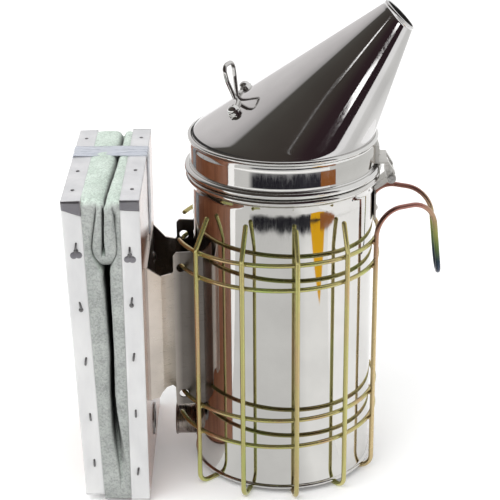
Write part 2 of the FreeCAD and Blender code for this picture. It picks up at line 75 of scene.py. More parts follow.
HALF_WIDTH = -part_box("front_strip_near")[0][1]      # half the boards' width, over the strips
FRONT_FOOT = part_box("front_board")[0][2]
BOARD_TOP = strip_high[2]
FRONT_OUT = strip_high[0]             # front board's outer face
FRONT_IN = strip_low[0]
BOARD_T = FRONT_OUT - FRONT_IN
REAR_TILT = math.radians(1.85)
REAR_FOOT = Vector((-100.5 * MM, 0, 4.5 * MM))
REAR_HEIGHT = 176.4 * MM


# ---- mesh helpers -------------------------------------------------------------------
def in_scene(name, data):
    """New object that holds the data, linked into the scene."""
    obj = bpy.data.objects.new(name, data)
    bpy.context.scene.collection.objects.link(obj)
    return obj


def new_mesh(name, verts, faces):
    mesh = bpy.data.meshes.new(name)
    mesh.from_pydata([tuple(v) for v in verts], [], faces)
    return mesh


def smooth(obj):
    obj.data.polygons.foreach_set("use_smooth", [True] * len(obj.data.polygons))


def new_piece(name, verts, faces, look, closed=True):
    """Object in the frame's own coordinates; a closed one gets its normals outwards."""
    mesh = new_mesh(name, verts, faces)
    mesh.validate()
    if closed:
        shape = bmesh.new()
        shape.from_mesh(mesh)
        bmesh.ops.recalc_face_normals(shape, faces=shape.faces)
        shape.to_mesh(mesh)
        shape.free()
    mesh.update()
    mesh.materials.append(look)
    obj = in_scene(name, mesh)
    smooth(obj)
    return obj


def settle(obj, body, slot, *replaced):
    """Rides the piece on its body and hides the nodes it stands for; slot, the name of its finish,
    is not used.
    """
    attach(obj, body)
    if replaced:
        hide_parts(*replaced)


def soften(obj, width):
    """Small rounded edges where faces meet sharply."""
    bevel = obj.modifiers.new("edges", "BEVEL")
    bevel.width = width
    bevel.segments = 2
    bevel.limit_method = "ANGLE"
    bevel.angle_limit = math.radians(35)
    bevel.harden_normals = False


def rings_mesh(rings, closed=False, caps=False):
    """Verts and faces of a skin over equal closed rings; closed joins last to first."""
    count = len(rings[0])
    verts = [p for ring in rings for p in ring]
    faces = []
    spans = len(rings) if closed else len(rings) - 1
    for i in range(spans):
        a = i * count
        b = ((i + 1) % len(rings)) * count
        for j in range(count):
            k = (j + 1) % count
            faces.append((a + j, a + k, b + k, b + j))
    if caps:
        last = (len(rings) - 1) * count
        faces.append(tuple(reversed(range(count))))
        faces.append(tuple(last + j for j in range(count)))
    return verts, faces


def lathe(profile, segments=256):
    """Closed solid of revolution from a closed outline of (radius, z) points."""
    rings = [[(r * math.cos(a), r * math.sin(a), z) for a in full_turn(segments)]
             for r, z in profile]
    return rings_mesh(rings, closed=True)


def arc_points(cx, cz, radius, start, end, steps):
    """Points of an arc in a (radius, z) outline, angles in degrees."""
    points = []
    for i in range(steps + 1):
        a = math.radians(start + (end - start) * i / steps)
        points.append((cx + radius * math.cos(a), cz + radius * math.sin(a)))
    return points


def rounded_route(points, bend, steps=8):
    """Points along straight runs joined by tangent arcs."""
    corners = [Vector(p) for p in points]
    out = [corners[0]]
    for before, here, after in zip(corners, corners[1:], corners[2:]):
        to_here = (here - before).normalized()
        to_next = (after - here).normalized()
        turn = to_here.angle(to_next)
        room = 0.49 * min((here - before).length, (after - here).length)
        trim = min(bend * math.tan(turn / 2), room)
        radius = trim / math.tan(turn / 2)
        start = here - to_here * trim
        centre = start + (to_next - to_here * math.cos(turn)).normalized() * radius
        arm = start - centre
        axis = arm.cross(to_here).normalized()
        for i in range(steps + 1):
            out.append(centre + Matrix.Rotation(turn * i / steps, 3, axis) @ arm)
    out.append(corners[-1])
    return out


def full_turn(count):
    """Equally spaced angles round a circle."""
    return [2 * math.pi * j / count for j in range(count)]


def circle(centre, out, radius, count):
    """Points of a circle that faces along out."""
    first = out.orthogonal().normalized()
    second = out.cross(first)
    return [centre + (first * math.cos(a) + second * math.sin(a)) * radius
            for a in full_turn(count)]


def grid_faces(cols, rows):
    """Faces over a grid of (cols + 1) by (rows + 1) points, listed column by column."""
    corners = [i * (rows + 1) + j for i in range(cols) for j in range(rows)]
    return [(k, k + rows + 1, k + rows + 2, k + 1) for k in corners]


def slab(outer, inner, cols, rows):
    """Closed sheet between two grids of points."""
    count = len(outer)
    faces = grid_faces(cols, rows)
    faces += [tuple(count + k for k in reversed(face)) for face in faces]
    rim = [i * (rows + 1) for i in range(cols + 1)]
    rim += [cols * (rows + 1) + j for j in range(1, rows + 1)]
    rim += [i * (rows + 1) + rows for i in range(cols - 1, -1, -1)]
    rim += list(range(rows - 1, 0, -1))
    for a, b in zip(rim, rim[1:] + rim[:1]):
        faces.append((a, b, count + b, count + a))
    return outer + inner, faces


def bridge(obj, replaced):
    """Hides the node that the piece stands for and bakes the piece's placement into its mesh; the
    piece rides on neither board.
    """
    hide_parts(replaced)
    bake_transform(obj)


def tube_mesh(route, radius, sides=16):
    """Round wire along a route of points, with domed ends."""
    points = [route[0]]
    for p in route[1:]:
        if (p - points[-1]).length > 1e-5:
            points.append(p)
    stations = []
    for i, p in enumerate(points):
        ahead = points[min(i + 1, len(points) - 1)] - points[max(i - 1, 0)]
        stations.append((p, ahead.normalized(), radius))
    tips = ([], [])
    for turn in (80, 55, 30):
        a = math.radians(turn)
        for tip, (p, ahead, _), way in zip(tips, (stations[0], stations[-1]), (-1, 1)):
            tip.append((p + ahead * (way * radius * math.sin(a)), ahead, radius * math.cos(a)))
    stations = tips[0] + stations + tips[1][::-1]
    rings = []
    normal = stations[0][1].orthogonal().normalized()
    for p, ahead, r in stations:
        normal = (normal - ahead * normal.dot(ahead)).normalized()
        side = ahead.cross(normal)
        rings.append([p + (normal * math.cos(a) + side * math.sin(a)) * r
                      for a in full_turn(sides)])
    return rings_mesh(rings, caps=True)


def joined(parts):
    """One verts and faces pair from several."""
    verts = []
    faces = []
    for v, f in parts:
        base = len(verts)
        verts += v
        faces += [tuple(base + i for i in face) for face in f]
    return verts, faces


def smoothstep(low, high, value):
    t = min(max((value - low) / (high - low), 0.0), 1.0)
    return t * t * (3 - 2 * t)


def on_rear(x, y, z):
    """Point given against an upright rear board (inner face x 0, foot z 0), leaned back."""
    c = math.cos(REAR_TILT)
    s = math.sin(REAR_TILT)
    return REAR_FOOT + Vector((x * c - z * s, y, x * s + z * c))


# ---- materials ----------------------------------------------------------------------
def material(name, metallic=0.0):
    mat = bpy.data.materials.new(name)
    mat.use_nodes = True
    shader = mat.node_tree.nodes["Principled BSDF"]
    shader.inputs["Metallic"].default_value = metallic
    return mat, mat.node_tree, shader


def node(tree, kind, output, inputs, **settings):
    """One shader node; its inputs are sockets or plain values."""
    made = tree.nodes.new("ShaderNode" + kind)
    for key, value in settings.items():
        setattr(made, key, value)
    for key, value in inputs.items():
        if isinstance(value, bpy.types.NodeSocket):
            tree.links.new(value, made.inputs[key])
        else:
            made.inputs[key].default_value = value
    return made.outputs[output]


def object_coords(tree, scale=(1, 1, 1)):
    coords = tree.nodes.new("ShaderNodeTexCoord").outputs["Object"]
    return node(tree, "Mapping", "Vector", {"Vector": coords, "Scale": scale})


def noise(tree, scale, detail=3.0, roughness=0.5, stretch=(1, 1, 1)):
    return node(tree, "TexNoise", "Fac", {"Vector": object_coords(tree, stretch), "Scale": scale,
                                          "Detail": detail, "Roughness": roughness})


def ramp(tree, factor, *stops):
    """Colour ramp; each stop is a place and a colour."""
    made = tree.nodes.new("ShaderNodeValToRGB")
    elements = made.color_ramp.elements
    while len(elements) < len(stops):
        elements.new(0.5)
    for element, (place, colour) in zip(elements, stops):
        element.position = place
        element.color = (*colour, 1.0)
    tree.links.new(factor, made.inputs["Fac"])
    return made.outputs["Color"]


def spread(tree, pattern, low, high):
    """Stretches the middle of a 0..1 noise over a range of plain values."""
    return remap(tree, pattern, 0.3, 0.7, low, high)


def bump(tree, shader, height, distance, strength=1.0):
    normal = node(tree, "Bump", "Normal", {"Height": height, "Distance": distance,
                                           "Strength": strength})
    tree.links.new(normal, shader.inputs["Normal"])


def calc(tree, operation, *values):
    """One arithmetic node; the values are sockets or numbers."""
    return node(tree, "Math", "Value", dict(enumerate(values)), operation=operation)


def remap(tree, value, low, high, to_low=0.0, to_high=1.0):
    return node(tree, "MapRange", "Result", {"Value": value, "From Min": low, "From Max": high,
                                             "To Min": to_low, "To Max": to_high})


def xyz(tree, vector=None):
    """The parts of a vector, or of the shaded point's place, as sockets."""
    split = tree.nodes.new("ShaderNodeSeparateXYZ")
    tree.links.new(vector or object_coords(tree), split.inputs["Vector"])
    return split.outputs


def surface(tree, shader, colour, rough, relief):
    """Plugs in a colour, a roughness (pattern, low, high) and a bump (pattern, distance)."""
    tree.links.new(colour, shader.inputs["Base Color"])
    tree.links.new(spread(tree, *rough), shader.inputs["Roughness"])
    bump(tree, shader, *relief)


def mixed(tree, factor, first, second, blend="MIX"):
    """Colour mix; the colours are sockets or plain (red, green, blue)."""
    first, second = [(*c, 1.0) if isinstance(c, tuple) else c for c in (first, second)]
    return node(tree, "Mix", 2, {0: factor, 6: first, 7: second}, data_type="RGBA",
                blend_type=blend)


def mirror_steel(name, tint, wave=0.00006, rough=(0.02, 0.07)):
    """Polished stainless: slight long waves from rolling, and faint wiping marks."""
    mat, tree, shader = material(name, 1.0)
    marks = noise(tree, 260, 4, stretch=(6, 6, 1))
    smudge = noise(tree, 45, 3)
    dark = tuple(0.93 * c for c in tint)
    long_wave = noise(tree, 34, 1, stretch=(1, 1, 0.12))
    surface(tree, shader, ramp(tree, smudge, (0.35, dark), (0.65, tint)), (marks, *rough),
            (long_wave, wave))
    return mat


def satin_steel(name, tint, rough, grain=(1, 1, 30), shade_x=None):
    """Brushed sheet: fine straight grain and soft blotches; shade_x gives a painted shade that
    darkens it along X.
    """
    mat, tree, shader = material(name, 1.0)
    streaks = noise(tree, 120, 4, stretch=grain)
    blotch = noise(tree, 60, 3)
    dark = tuple(0.82 * c for c in tint)
    colour = ramp(tree, blotch, (0.3, dark), (0.7, tint))
    # painted shade: the colour falls to a quarter between the two X values and stays so further
    # along +X
    if shade_x:
        shade = remap(tree, xyz(tree)["X"], *shade_x, 1.0, 0.25)
        colour = mixed(tree, 1.0, colour, shade, "MULTIPLY")
    surface(tree, shader, colour, (streaks, *rough), (streaks, 0.000003))
    return mat


def zinc_wire():
    """Yellow-passivated zinc: gold with patches of olive green and pink."""
    mat, tree, shader = material("zinc_wire", 0.88)
    patches = noise(tree, 38, 2, 0.6, stretch=(1, 1, 0.5))
    colour = ramp(tree, patches, (0.30, (0.43, 0.52, 0.16)), (0.44, (0.48, 0.46, 0.18)),
                  (0.58, (0.50, 0.42, 0.19)), (0.74, (0.54, 0.34, 0.22)))
    fine = noise(tree, 160, 1)
    surface(tree, shader, colour, (fine, 0.16, 0.26), (fine, 0.00001))
    return mat


def hook_wire():
    """The same plating, going green and then blue-black towards the hook's dipped tip."""
    mat, tree, shader = material("hook_wire", 1.0)
    place = xyz(tree)
    tip = ramp(tree, remap(tree, place["Z"], 152 * MM, 118 * MM), (0.0, (0.48, 0.33, 0.22)),
               (0.3, (0.34, 0.36, 0.12)), (0.55, (0.14, 0.20, 0.07)),
               (0.8, (0.035, 0.055, 0.075)), (1.0, (0.05, 0.06, 0.09)))
    leg = ramp(tree, remap(tree, place["Z"], 120 * MM, 160 * MM), (0.0, (0.56, 0.44, 0.24)),
               (0.35, (0.50, 0.34, 0.22)), (1.0, (0.36, 0.17, 0.14)))
    colour = mixed(tree, remap(tree, place["X"], 76 * MM, 83 * MM), leg, tip)
    fine = noise(tree, 160, 1)
    surface(tree, shader, colour, (fine, 0.24, 0.36), (fine, 0.00001))
    return mat


def painted_light_mask(tree):
    """0 on upright faces and 1 on level ones, measured on the piece itself; it picks between tones
    of painted light.
    """
    coords = tree.nodes.new("ShaderNodeTexCoord")
    return remap(tree, xyz(tree, coords.outputs["Normal"])["Z"], 0.1, 0.8)


def edging_metal():
    """Thin bright rolled strip with a pale oxide bloom and hammered unevenness; its upright sides
    get a lighter tone than its tops, as painted light.
    """
    mat, tree, shader = material("edging_metal", 0.4)
    bloom = noise(tree, 70, 4, stretch=(1, 1, 0.4))
    # painted light: one tone for the level tops and a lighter one for the upright sides
    top = ramp(tree, bloom, (0.3, (0.58, 0.585, 0.60)), (0.7, (0.70, 0.70, 0.71)))
    side = ramp(tree, bloom, (0.3, (0.64, 0.64, 0.645)), (0.7, (0.77, 0.77, 0.765)))
    fine = noise(tree, 500, 3, stretch=(1, 1, 0.2))
    surface(tree, shader, mixed(tree, painted_light_mask(tree), side, top), (fine, 0.30, 0.48),
            (bloom, 0.00012))
    return mat


def suede():
    """Suede-like grey-green leatherette with a speckled nap; painted shade makes its upright sides
    greyer and darker and darkens it down into the folds.
    """
    mat, tree, shader = material("suede")
    patches = noise(tree, 90, 4, 0.6)
    # painted shade: a pale mint tone for the level top and a darker grey one for the upright sides
    top = ramp(tree, patches, (0.3, (0.52, 0.61, 0.54)), (0.7, (0.64, 0.73, 0.66)))
    side = ramp(tree, patches, (0.3, (0.30, 0.318, 0.303)), (0.7, (0.42, 0.44, 0.42)))
    colour = mixed(tree, painted_light_mask(tree), side, top)
    speckle = noise(tree, 850, 3, 0.7)
    grain = ramp(tree, speckle, (0.34, (0.62, 0.62, 0.62)), (0.60, (1.06, 1.06, 1.06)))
    colour = mixed(tree, 0.82, colour, grain, "MULTIPLY")
    # painted shade: darker with depth in from the sides and down from the top, to near black 13 mm
    # in
    place = xyz(tree)
    from_side = calc(tree, "SUBTRACT", HALF_WIDTH, calc(tree, "ABSOLUTE", place["Y"]))
    from_top = calc(tree, "SUBTRACT", BOARD_TOP, place["Z"])
    depth = calc(tree, "MINIMUM", from_side, from_top)
    shade = remap(tree, depth, 2.6 * MM, 13 * MM, 1.0, 0.07)
    nap = noise(tree, 2600, 4, 0.7)
    creases = noise(tree, 380, 5, 0.65, stretch=(1, 1, 0.35))
    surface(tree, shader, mixed(tree, 1.0, colour, shade, "MULTIPLY"), (nap, 0.82, 0.98),
            (calc(tree, "ADD", nap, creases), 0.00025, 0.9))
    return mat


def grained(name, pattern, stops, rough, relief, stretch=(1, 1, 1), extra=None):
    """Material whose colour, roughness and bump all follow one noise."""
    mat, tree, shader = material(name)
    grain = noise(tree, *pattern, stretch=stretch)
    surface(tree, shader, ramp(tree, grain, *stops), (grain, *rough), (grain, relief))
    for socket, value in (extra or {}).items():
        shader.inputs[socket].default_value = value
    return mat


def dark_steel(name, tint):
    """Dull nail and tack steel with a little grime."""
    dark = tuple(0.5 * c for c in tint)
    return grained(name, (800, 3), ((0.3, dark), (0.7, tint)), (0.3, 0.5), 0.00005,
                   extra={"Metallic": 1.0})


STEEL = mirror_steel("polished_steel", (0.64, 0.63, 0.61))
CONE_STEEL = mirror_steel("polished_cone", (0.64, 0.63, 0.625), 0.00004, (0.03, 0.08))
BEAD_STEEL = mirror_steel("polished_bead", (0.66, 0.655, 0.64), 0.00001, (0.06, 0.14))
# painted shade on the bracket's wings by the can, and on the base and grate inside it, which share
# this steel
SHEET_STEEL = satin_steel("bracket_steel", (0.72, 0.65, 0.59), (0.27, 0.31),
                          shade_x=(-65 * MM, -56.5 * MM))
TUBE_STEEL = satin_steel("tube_steel", (0.36, 0.31, 0.28), (0.2, 0.34), (30, 1, 1))
HINGE_STEEL = satin_steel("hinge_steel", (0.62, 0.61, 0.58), (0.3, 0.46), (1, 30, 1))
HARDWARE = dark_steel("hardware_steel", (0.52, 0.51, 0.50))
BRIGHT_WIRE = mirror_steel("bright_wire", (0.56, 0.55, 0.535), 0.00001, (0.08, 0.16))
NAIL_STEEL = dark_steel("nail_steel", (0.30, 0.295, 0.30))
# painted shade: the near-black for the inside of the lid's cone, plain steel in shade
CONE_INSIDE_SHADE = grained("cone_inside_shade", (300, 4), ((0.3, (0.006, 0.006, 0.006)), (0.7, (0.02, 0.018, 0.016))),
               (0.6, 0.9), 0.0002)
# painted shade: the edging metal drawn dark grey, for the corner flaps in shade and the dark
# reflection in the hammer dents
PAINTED_SHADE_STEEL = satin_steel("painted_shade_steel", (0.34, 0.33, 0.355), (0.4, 0.55))
WIRE = zinc_wire()
HOOK_WIRE = hook_wire()
EDGING = edging_metal()
SUEDE = suede()
WOOD = grained("board_wood", (22, 5, 0.6), ((0.28, (0.27, 0.090, 0.042)),
                                             (0.5, (0.42, 0.155, 0.072)),
                                             (0.72, (0.52, 0.20, 0.095))),
               (0.4, 0.6), 0.00004, (14, 14, 1), {"Coat Weight": 1.0, "Coat Roughness": 0.16})
STRAP = grained("strap_plastic", (120, 3), ((0.3, (0.50, 0.53, 0.60)), (0.7, (0.62, 0.65, 0.71))),
                (0.2, 0.4), 0.0002, (1, 4, 1), {"Alpha": 0.72})


# ---- fire chamber -------------------------------------------------------------------
TUBE_R = (tube_high[2] - tube_low[2]) / 2           # air tube, over its lip
TUBE_LIP = 0.7 * MM
TUBE_Z = (tube_high[2] + tube_low[2]) / 2


def tube_ring(x, radius, count):
    """Points of a circle round the air tube's axis."""
    return [(x, radius * math.cos(a), TUBE_Z + radius * math.sin(a)) for a in full_turn(count)]


def chamber_shell():
    """Can wall with a rolled hem, a sloped shoulder, a round bead and the plain neck."""
    inner = CAN_R - SHEET
    wall = SHOULDER_Z - CAN_FOOT - 3.6 * MM
    slope = ((0.02, -0.3), (0.25, 0.6), (0.9, 2.2), (1.5, 3.4), (1.75, 4.0))
    profile = arc_points(CAN_R + 0.1 * MM, CAN_FOOT + 1.1 * MM, 1.1 * MM, -90, 80, 8)
    profile.append((CAN_R + 0.02 * MM, CAN_FOOT + 2.35 * MM))
    profile += [(CAN_R, CAN_FOOT + 2.8 * MM + wall * i / 40) for i in range(41)]
    profile += [(CAN_R + r * MM, SHOULDER_Z + z * MM) for r, z in slope]
    profile += arc_points(CAN_R + 1.6 * MM, BEAD_Z, BEAD_R, -70, 120, 18)
    profile += [(CAN_R - 0.3 * MM, BEAD_Z + 1.7 * MM), (NECK_R + 0.3 * MM, BEAD_Z + 2.4 * MM),
                (NECK_R + 0.1 * MM, BEAD_Z + 5 * MM), (NECK_R, CAN_TOP - 0.3 * MM)]
    profile += arc_points(NECK_R - 0.3 * MM, CAN_TOP - 0.3 * MM, 0.3 * MM, 0, 180, 6)
    profile += [(NECK_R - SHEET, BEAD_Z), (NECK_R - SHEET, SHOULDER_Z + 3 * MM),
                (inner, SHOULDER_Z), (inner, CAN_FOOT + 0.4 * MM), (inner + 0.2 * MM, CAN_FOOT)]
    obj = new_piece("fire_chamber_wall", *lathe(profile), STEEL)
    hole_r = TUBE_R - 1.3 * MM
    ends = [tube_ring(x, hole_r, 48) for x in (-60 * MM, -40 * MM)]
    cut_out(obj, in_scene("cutter", new_mesh("cutter", *rings_mesh(ends, caps=True))))
    settle(obj, BODY, "polished_steel", "chamber_shell")


def cut_out(obj, cutter):
    """Cuts the cutter out of obj for good, and deletes the cutter."""
    cut = obj.modifiers.new("cut", "BOOLEAN")
    cut.operation = "DIFFERENCE"
    cut.solver = "EXACT"
    cut.object = cutter
    bake_modifiers(obj)
    bpy.data.objects.remove(cutter)


def bake_modifiers(obj):
    """Writes the modifiers' result to the object's own mesh."""
    depsgraph = bpy.context.evaluated_depsgraph_get()
    depsgraph.update()
    baked = bpy.data.meshes.new_from_object(obj.evaluated_get(depsgraph))
    obj.modifiers.clear()
    obj.data = baked


def air_tube():
    """Short tube with a lip rolled slightly outwards."""
    outer = TUBE_R - TUBE_LIP
    inner = outer - SHEET
    mouth = tube_low[0]
    length = 1.2 * MM - CAN_R - mouth
    profile = [(outer, length), (outer, 2.2 * MM)]
    profile += arc_points(outer, TUBE_LIP, TUBE_LIP, 75, -180, 12)
    profile += [(inner, 1.4 * MM), (inner, length)]
    rings = [tube_ring(mouth + along, r, 64) for r, along in profile]
    verts, faces = rings_mesh(rings, closed=True)
    # the can end follows the can's curve
    shaped = []
    for x, y, z in verts:
        wall = -math.sqrt(CAN_R ** 2 - y ** 2) - 0.02 * MM
        shaped.append((min(x, wall) if x > mouth + 6 * MM else x, y, z))
    obj = new_piece("air_inlet_pipe", shaped, faces, TUBE_STEEL)
    settle(obj, BODY, "sheet_steel", "air_inlet_tube")


def tube_weld():
    """Uneven bead of weld where the air tube meets the can."""
    radius = TUBE_R - TUBE_LIP + 0.2 * MM
    places = []
    for a in full_turn(96):
        y = radius * math.cos(a)
        x = -math.sqrt(CAN_R ** 2 - y ** 2) - 0.25 * MM
        places.append((Vector((x, y, TUBE_Z + radius * math.sin(a))),
                       0.75 * MM * (1 + 0.12 * math.sin(17 * a))))
    out = Vector((-1, 0, 0))
    rings = []
    for i, (p, r) in enumerate(places):
        ahead = (places[(i + 1) % len(places)][0] - places[i - 1][0]).normalized()
        side = ahead.cross(out).normalized()
        rings.append([p + (out * math.cos(b) + side * math.sin(b)) * r for b in full_turn(10)])
    bead = new_piece("air_inlet_weld", *rings_mesh(rings, closed=True), TUBE_STEEL)
    settle(bead, BODY, "sheet_steel")


# ---- lid ----------------------------------------------------------------------------
SKIRT_R = 51.0 * MM
CURL_Z = 180.3 * MM
SEAM_Z = 197.7 * MM
CONE_R = 50.3 * MM
CONE_Z = 199.6 * MM
MOUTH_R = 9.85 * MM
MOUTH = Vector((62.2 * MM, 0, 263.5 * MM))
MOUTH_TILT = math.radians(45)
CONE_BEND = 0.045            # share of the cone taken up by the rounding at its foot
CONE_BAND = 2.2 * MM         # upright band below that rounding
CONE_TUCK = 6 * MM           # how far the cone's sheet reaches down inside the seam


def lid_skirt():
    """Skirt of the lid: rolled curl below, plain band, small groove and seam bead above."""
    inner = SKIRT_R - SHEET
    profile = [(inner, CURL_Z + 2.2 * MM), (inner, CURL_Z - 0.6 * MM)]
    profile += arc_points(52.2 * MM, CURL_Z, 1.9 * MM, 195, 490, 24)
    profile.append((SKIRT_R + 0.05 * MM, CURL_Z + 2.3 * MM))
    profile += [(SKIRT_R, CURL_Z + (2.8 + i) * MM) for i in range(11)]
    profile += [(SKIRT_R - 0.15 * MM, SEAM_Z - 2.8 * MM), (SKIRT_R - 0.05 * MM, SEAM_Z - 2.0 * MM)]
    profile += arc_points(50.9 * MM, SEAM_Z, 1.25 * MM, -72, 118, 14)
    profile += [(CONE_R + 0.04 * MM, SEAM_Z + 0.9 * MM), (CONE_R + 0.04 * MM, SEAM_Z - 2 * MM)]
    obj = new_piece("lid_skirt", *lathe(profile), BEAD_STEEL)
    obj.data.materials.append(STEEL)
    for face in obj.data.polygons:
        if CURL_Z + 2.6 * MM < face.center.z < SEAM_Z - 2.6 * MM:
            face.material_index = 1
    settle(obj, LID, "polished_steel", "lid_collar")


def cone_ring(t, inset):
    """One ring of the cone from its round base (t 0) to the tilted mouth (t 1)."""
    across = Vector((math.cos(MOUTH_TILT), 0, -math.sin(MOUTH_TILT)))
    ring = []
    for a in full_turn(256):
        low = Vector(((CONE_R - inset) * math.cos(a), (CONE_R - inset) * math.sin(a), CONE_Z))
        high = MOUTH + across * ((MOUTH_R - inset) * math.cos(a))
        high += Vector((0, (MOUTH_R - inset) * math.sin(a), 0))
        ring.append(low.lerp(high, t))
    return ring


def lowered(ring, drop):
    return [p - Vector((0, 0, drop)) for p in ring]


def lid_cone():
    """Oblique cone, rounded where it leaves the seam, with a thin rolled lip."""
    base = cone_ring(0, 0)
    rings = [lowered(base, CONE_TUCK), lowered(base, CONE_BAND)]
    # rounding between the upright band and the cone: a quadratic blend of both
    for i in range(9):
        s = i / 8
        upper = cone_ring(CONE_BEND * s, 0)
        rings.append([a.lerp(b, s) for a, b in zip(lowered(base, CONE_BAND * (1 - s)), upper)])
    rings += [cone_ring(CONE_BEND + (0.99 - CONE_BEND) * i / 48, 0) for i in range(1, 49)]
    rings += [cone_ring(0.99, -0.45 * MM), cone_ring(1.0, -0.5 * MM), cone_ring(1.003, -0.1 * MM)]
    outer_faces = len(rings) * len(base)
    rings.append(cone_ring(1.0, SHEET))
    rings += [cone_ring(1 - i / 24, SHEET) for i in range(1, 25)]
    rings.append(lowered(cone_ring(0, SHEET), CONE_TUCK))
    obj = new_piece("lid_cone_shell", *rings_mesh(rings, closed=True), CONE_STEEL)
    # the inner faces take the near-black painted shade
    obj.data.materials.append(CONE_INSIDE_SHADE)
    for face in obj.data.polygons[outer_faces:]:
        face.material_index = 1
    settle(obj, LID, "polished_steel", "lid_cone")


def cone_height(x, y):
    """Height of the cone's left side over the point (x, y)."""
    low, high = CONE_Z, MOUTH.z
    for _ in range(40):
        z = (low + high) / 2
        t = (z - CONE_Z) / (MOUTH.z - CONE_Z)
        inside = math.hypot(x - MOUTH.x * t, y) < CONE_R + (MOUTH_R - CONE_R) * t
        low, high = (z, high) if inside else (low, z)
    return low


HANDLE_R = 1.2 * MM
HANDLE_FEET = ((-25.5 * MM, -15 * MM), (-19.3 * MM, 15 * MM))


def on_cone(x, y):
    """Point of the cone's left side over (x, y), and the outward direction there."""
    step = 0.5 * MM
    slope_x = (cone_height(x + step, y) - cone_height(x - step, y)) / (2 * step)
    slope_y = (cone_height(x, y + step) - cone_height(x, y - step)) / (2 * step)
    return Vector((x, y, cone_height(x, y))), Vector((-slope_x, -slope_y, 1)).normalized()


def domed_nut(spot, normal):
    """Washer, hexagon and dome; the outline is radius and height in mm."""
    profile = [(0.2, 0.0), (3.9, 0.0), (4.0, 0.15), (3.9, 0.35), (3.6, 0.4), (3.65, 0.6),
               (3.6, 2.6), (3.3, 3.0)]
    profile += [(3.1 * math.cos(math.radians(a)), 3.0 + 2.75 * math.sin(math.radians(a)))
                for a in range(0, 90, 12)]
    profile.append((0.05, 5.75))
    rings = []
    for r, h in profile:
        centre = spot + normal * (h * MM)
        ring = circle(centre, normal, r * MM, 48)
        if 0.4 < h < 2.7:
            flats = [0.95 / math.cos(a % (math.pi / 3) - math.pi / 6) for a in full_turn(48)]
            ring = [centre + (p - centre) * flat for p, flat in zip(ring, flats)]
        rings.append(ring)
    return rings_mesh(rings, caps=True)


def lid_handle():
    """Teardrop loop of bright wire with two feet under domed nuts."""
    places = [on_cone(*foot) for foot in HANDLE_FEET]
    near, far = [spot + normal * (HANDLE_R + 0.35 * MM) for spot, normal in places]
    loop = [(-24.2, -6.5, 217.8), (-26.0, -2.0, 217.9), (-30.0, -4.6, 228.5),
            (-32.0, -5.4, 236.8), (-27.0, 5.4, 236.8), (-26.0, 4.6, 228.5), (-25.0, 2.2, 217.9),
            (-24.2, 6.5, 217.9)]
    route = [near] + [Vector(p) * MM for p in loop] + [far]
    wire = tube_mesh(rounded_route(route, 4.5 * MM), HANDLE_R)
    settle(new_piece("lid_handle_wire", *wire, BRIGHT_WIRE), LID, "polished_steel", "lid_handle")
    nuts = joined([domed_nut(*place) for place in places])
    settle(new_piece("lid_handle_nuts", *nuts, BEAD_STEEL), LID, "polished_steel", "handle_nuts")


# ---- wire guard ---------------------------------------------------------------------
RING_WIRE = (ring_high[2] - ring_low[2]) / 2
RING_X = ring_high[0] - ring_high[1]
RING_R = ring_high[1] - RING_WIRE
UPRIGHT_WIRE = 1.5 * MM
UPRIGHT_LOOK = 1.35 * MM         # the drawn wire is a little slimmer than its solid
UPRIGHT_R = RING_R + RING_WIRE + UPRIGHT_WIRE - 0.15 * MM
FOOT_INSET = 16.0 * MM
UPRIGHT_TOP = 162.0 * MM
LEAN_Z = 145.0 * MM              # where the uprights start to toe in
TIP_GAP = 2.0 * MM               # they stop just short of the can
WELD_R = 1.5 * MM
UPRIGHT_ANGLES = (51.0, 80.0, 109.0, 138.0)
HOOK_ANGLE = 24.0
RING_SPANS = {"top": (-161, 157), "upper": (-159.5, 159.5),
              "lower": (-159.5, 159.5), "bottom": (-164, 160)}
RING_BOXES = {place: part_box("guard_ring_" + place) for place in RING_SPANS}
RING_HEIGHTS = {place: (low[2] + high[2]) / 2 for place, (low, high) in RING_BOXES.items()}


def on_guard(radius, degrees, z):
    """Point of the wire guard at an angle from +X."""
    a = math.radians(degrees)
    return Vector((RING_X + radius * math.cos(a), radius * math.sin(a), z))


def touching_can(degrees):
    """Guard radius at which an upright's tip would touch the can."""
    a = math.radians(degrees)
    reach = CAN_R + UPRIGHT_WIRE + 0.2 * MM
    return -RING_X * math.cos(a) + math.sqrt(reach ** 2 - (RING_X * math.sin(a)) ** 2)


def weld_spot(degrees, z, out):
    """Small squashed lump of weld between an upright and a ring."""
    place = on_guard(RING_R + RING_WIRE * 0.9, degrees, z)
    rings = []
    for i in range(1, 8):
        tilt = math.pi * i / 8
        centre = place + out * (0.8 * WELD_R * math.cos(tilt))
        rings.append(circle(centre, out, WELD_R * math.sin(tilt), 12))
    return rings_mesh(rings, caps=True)


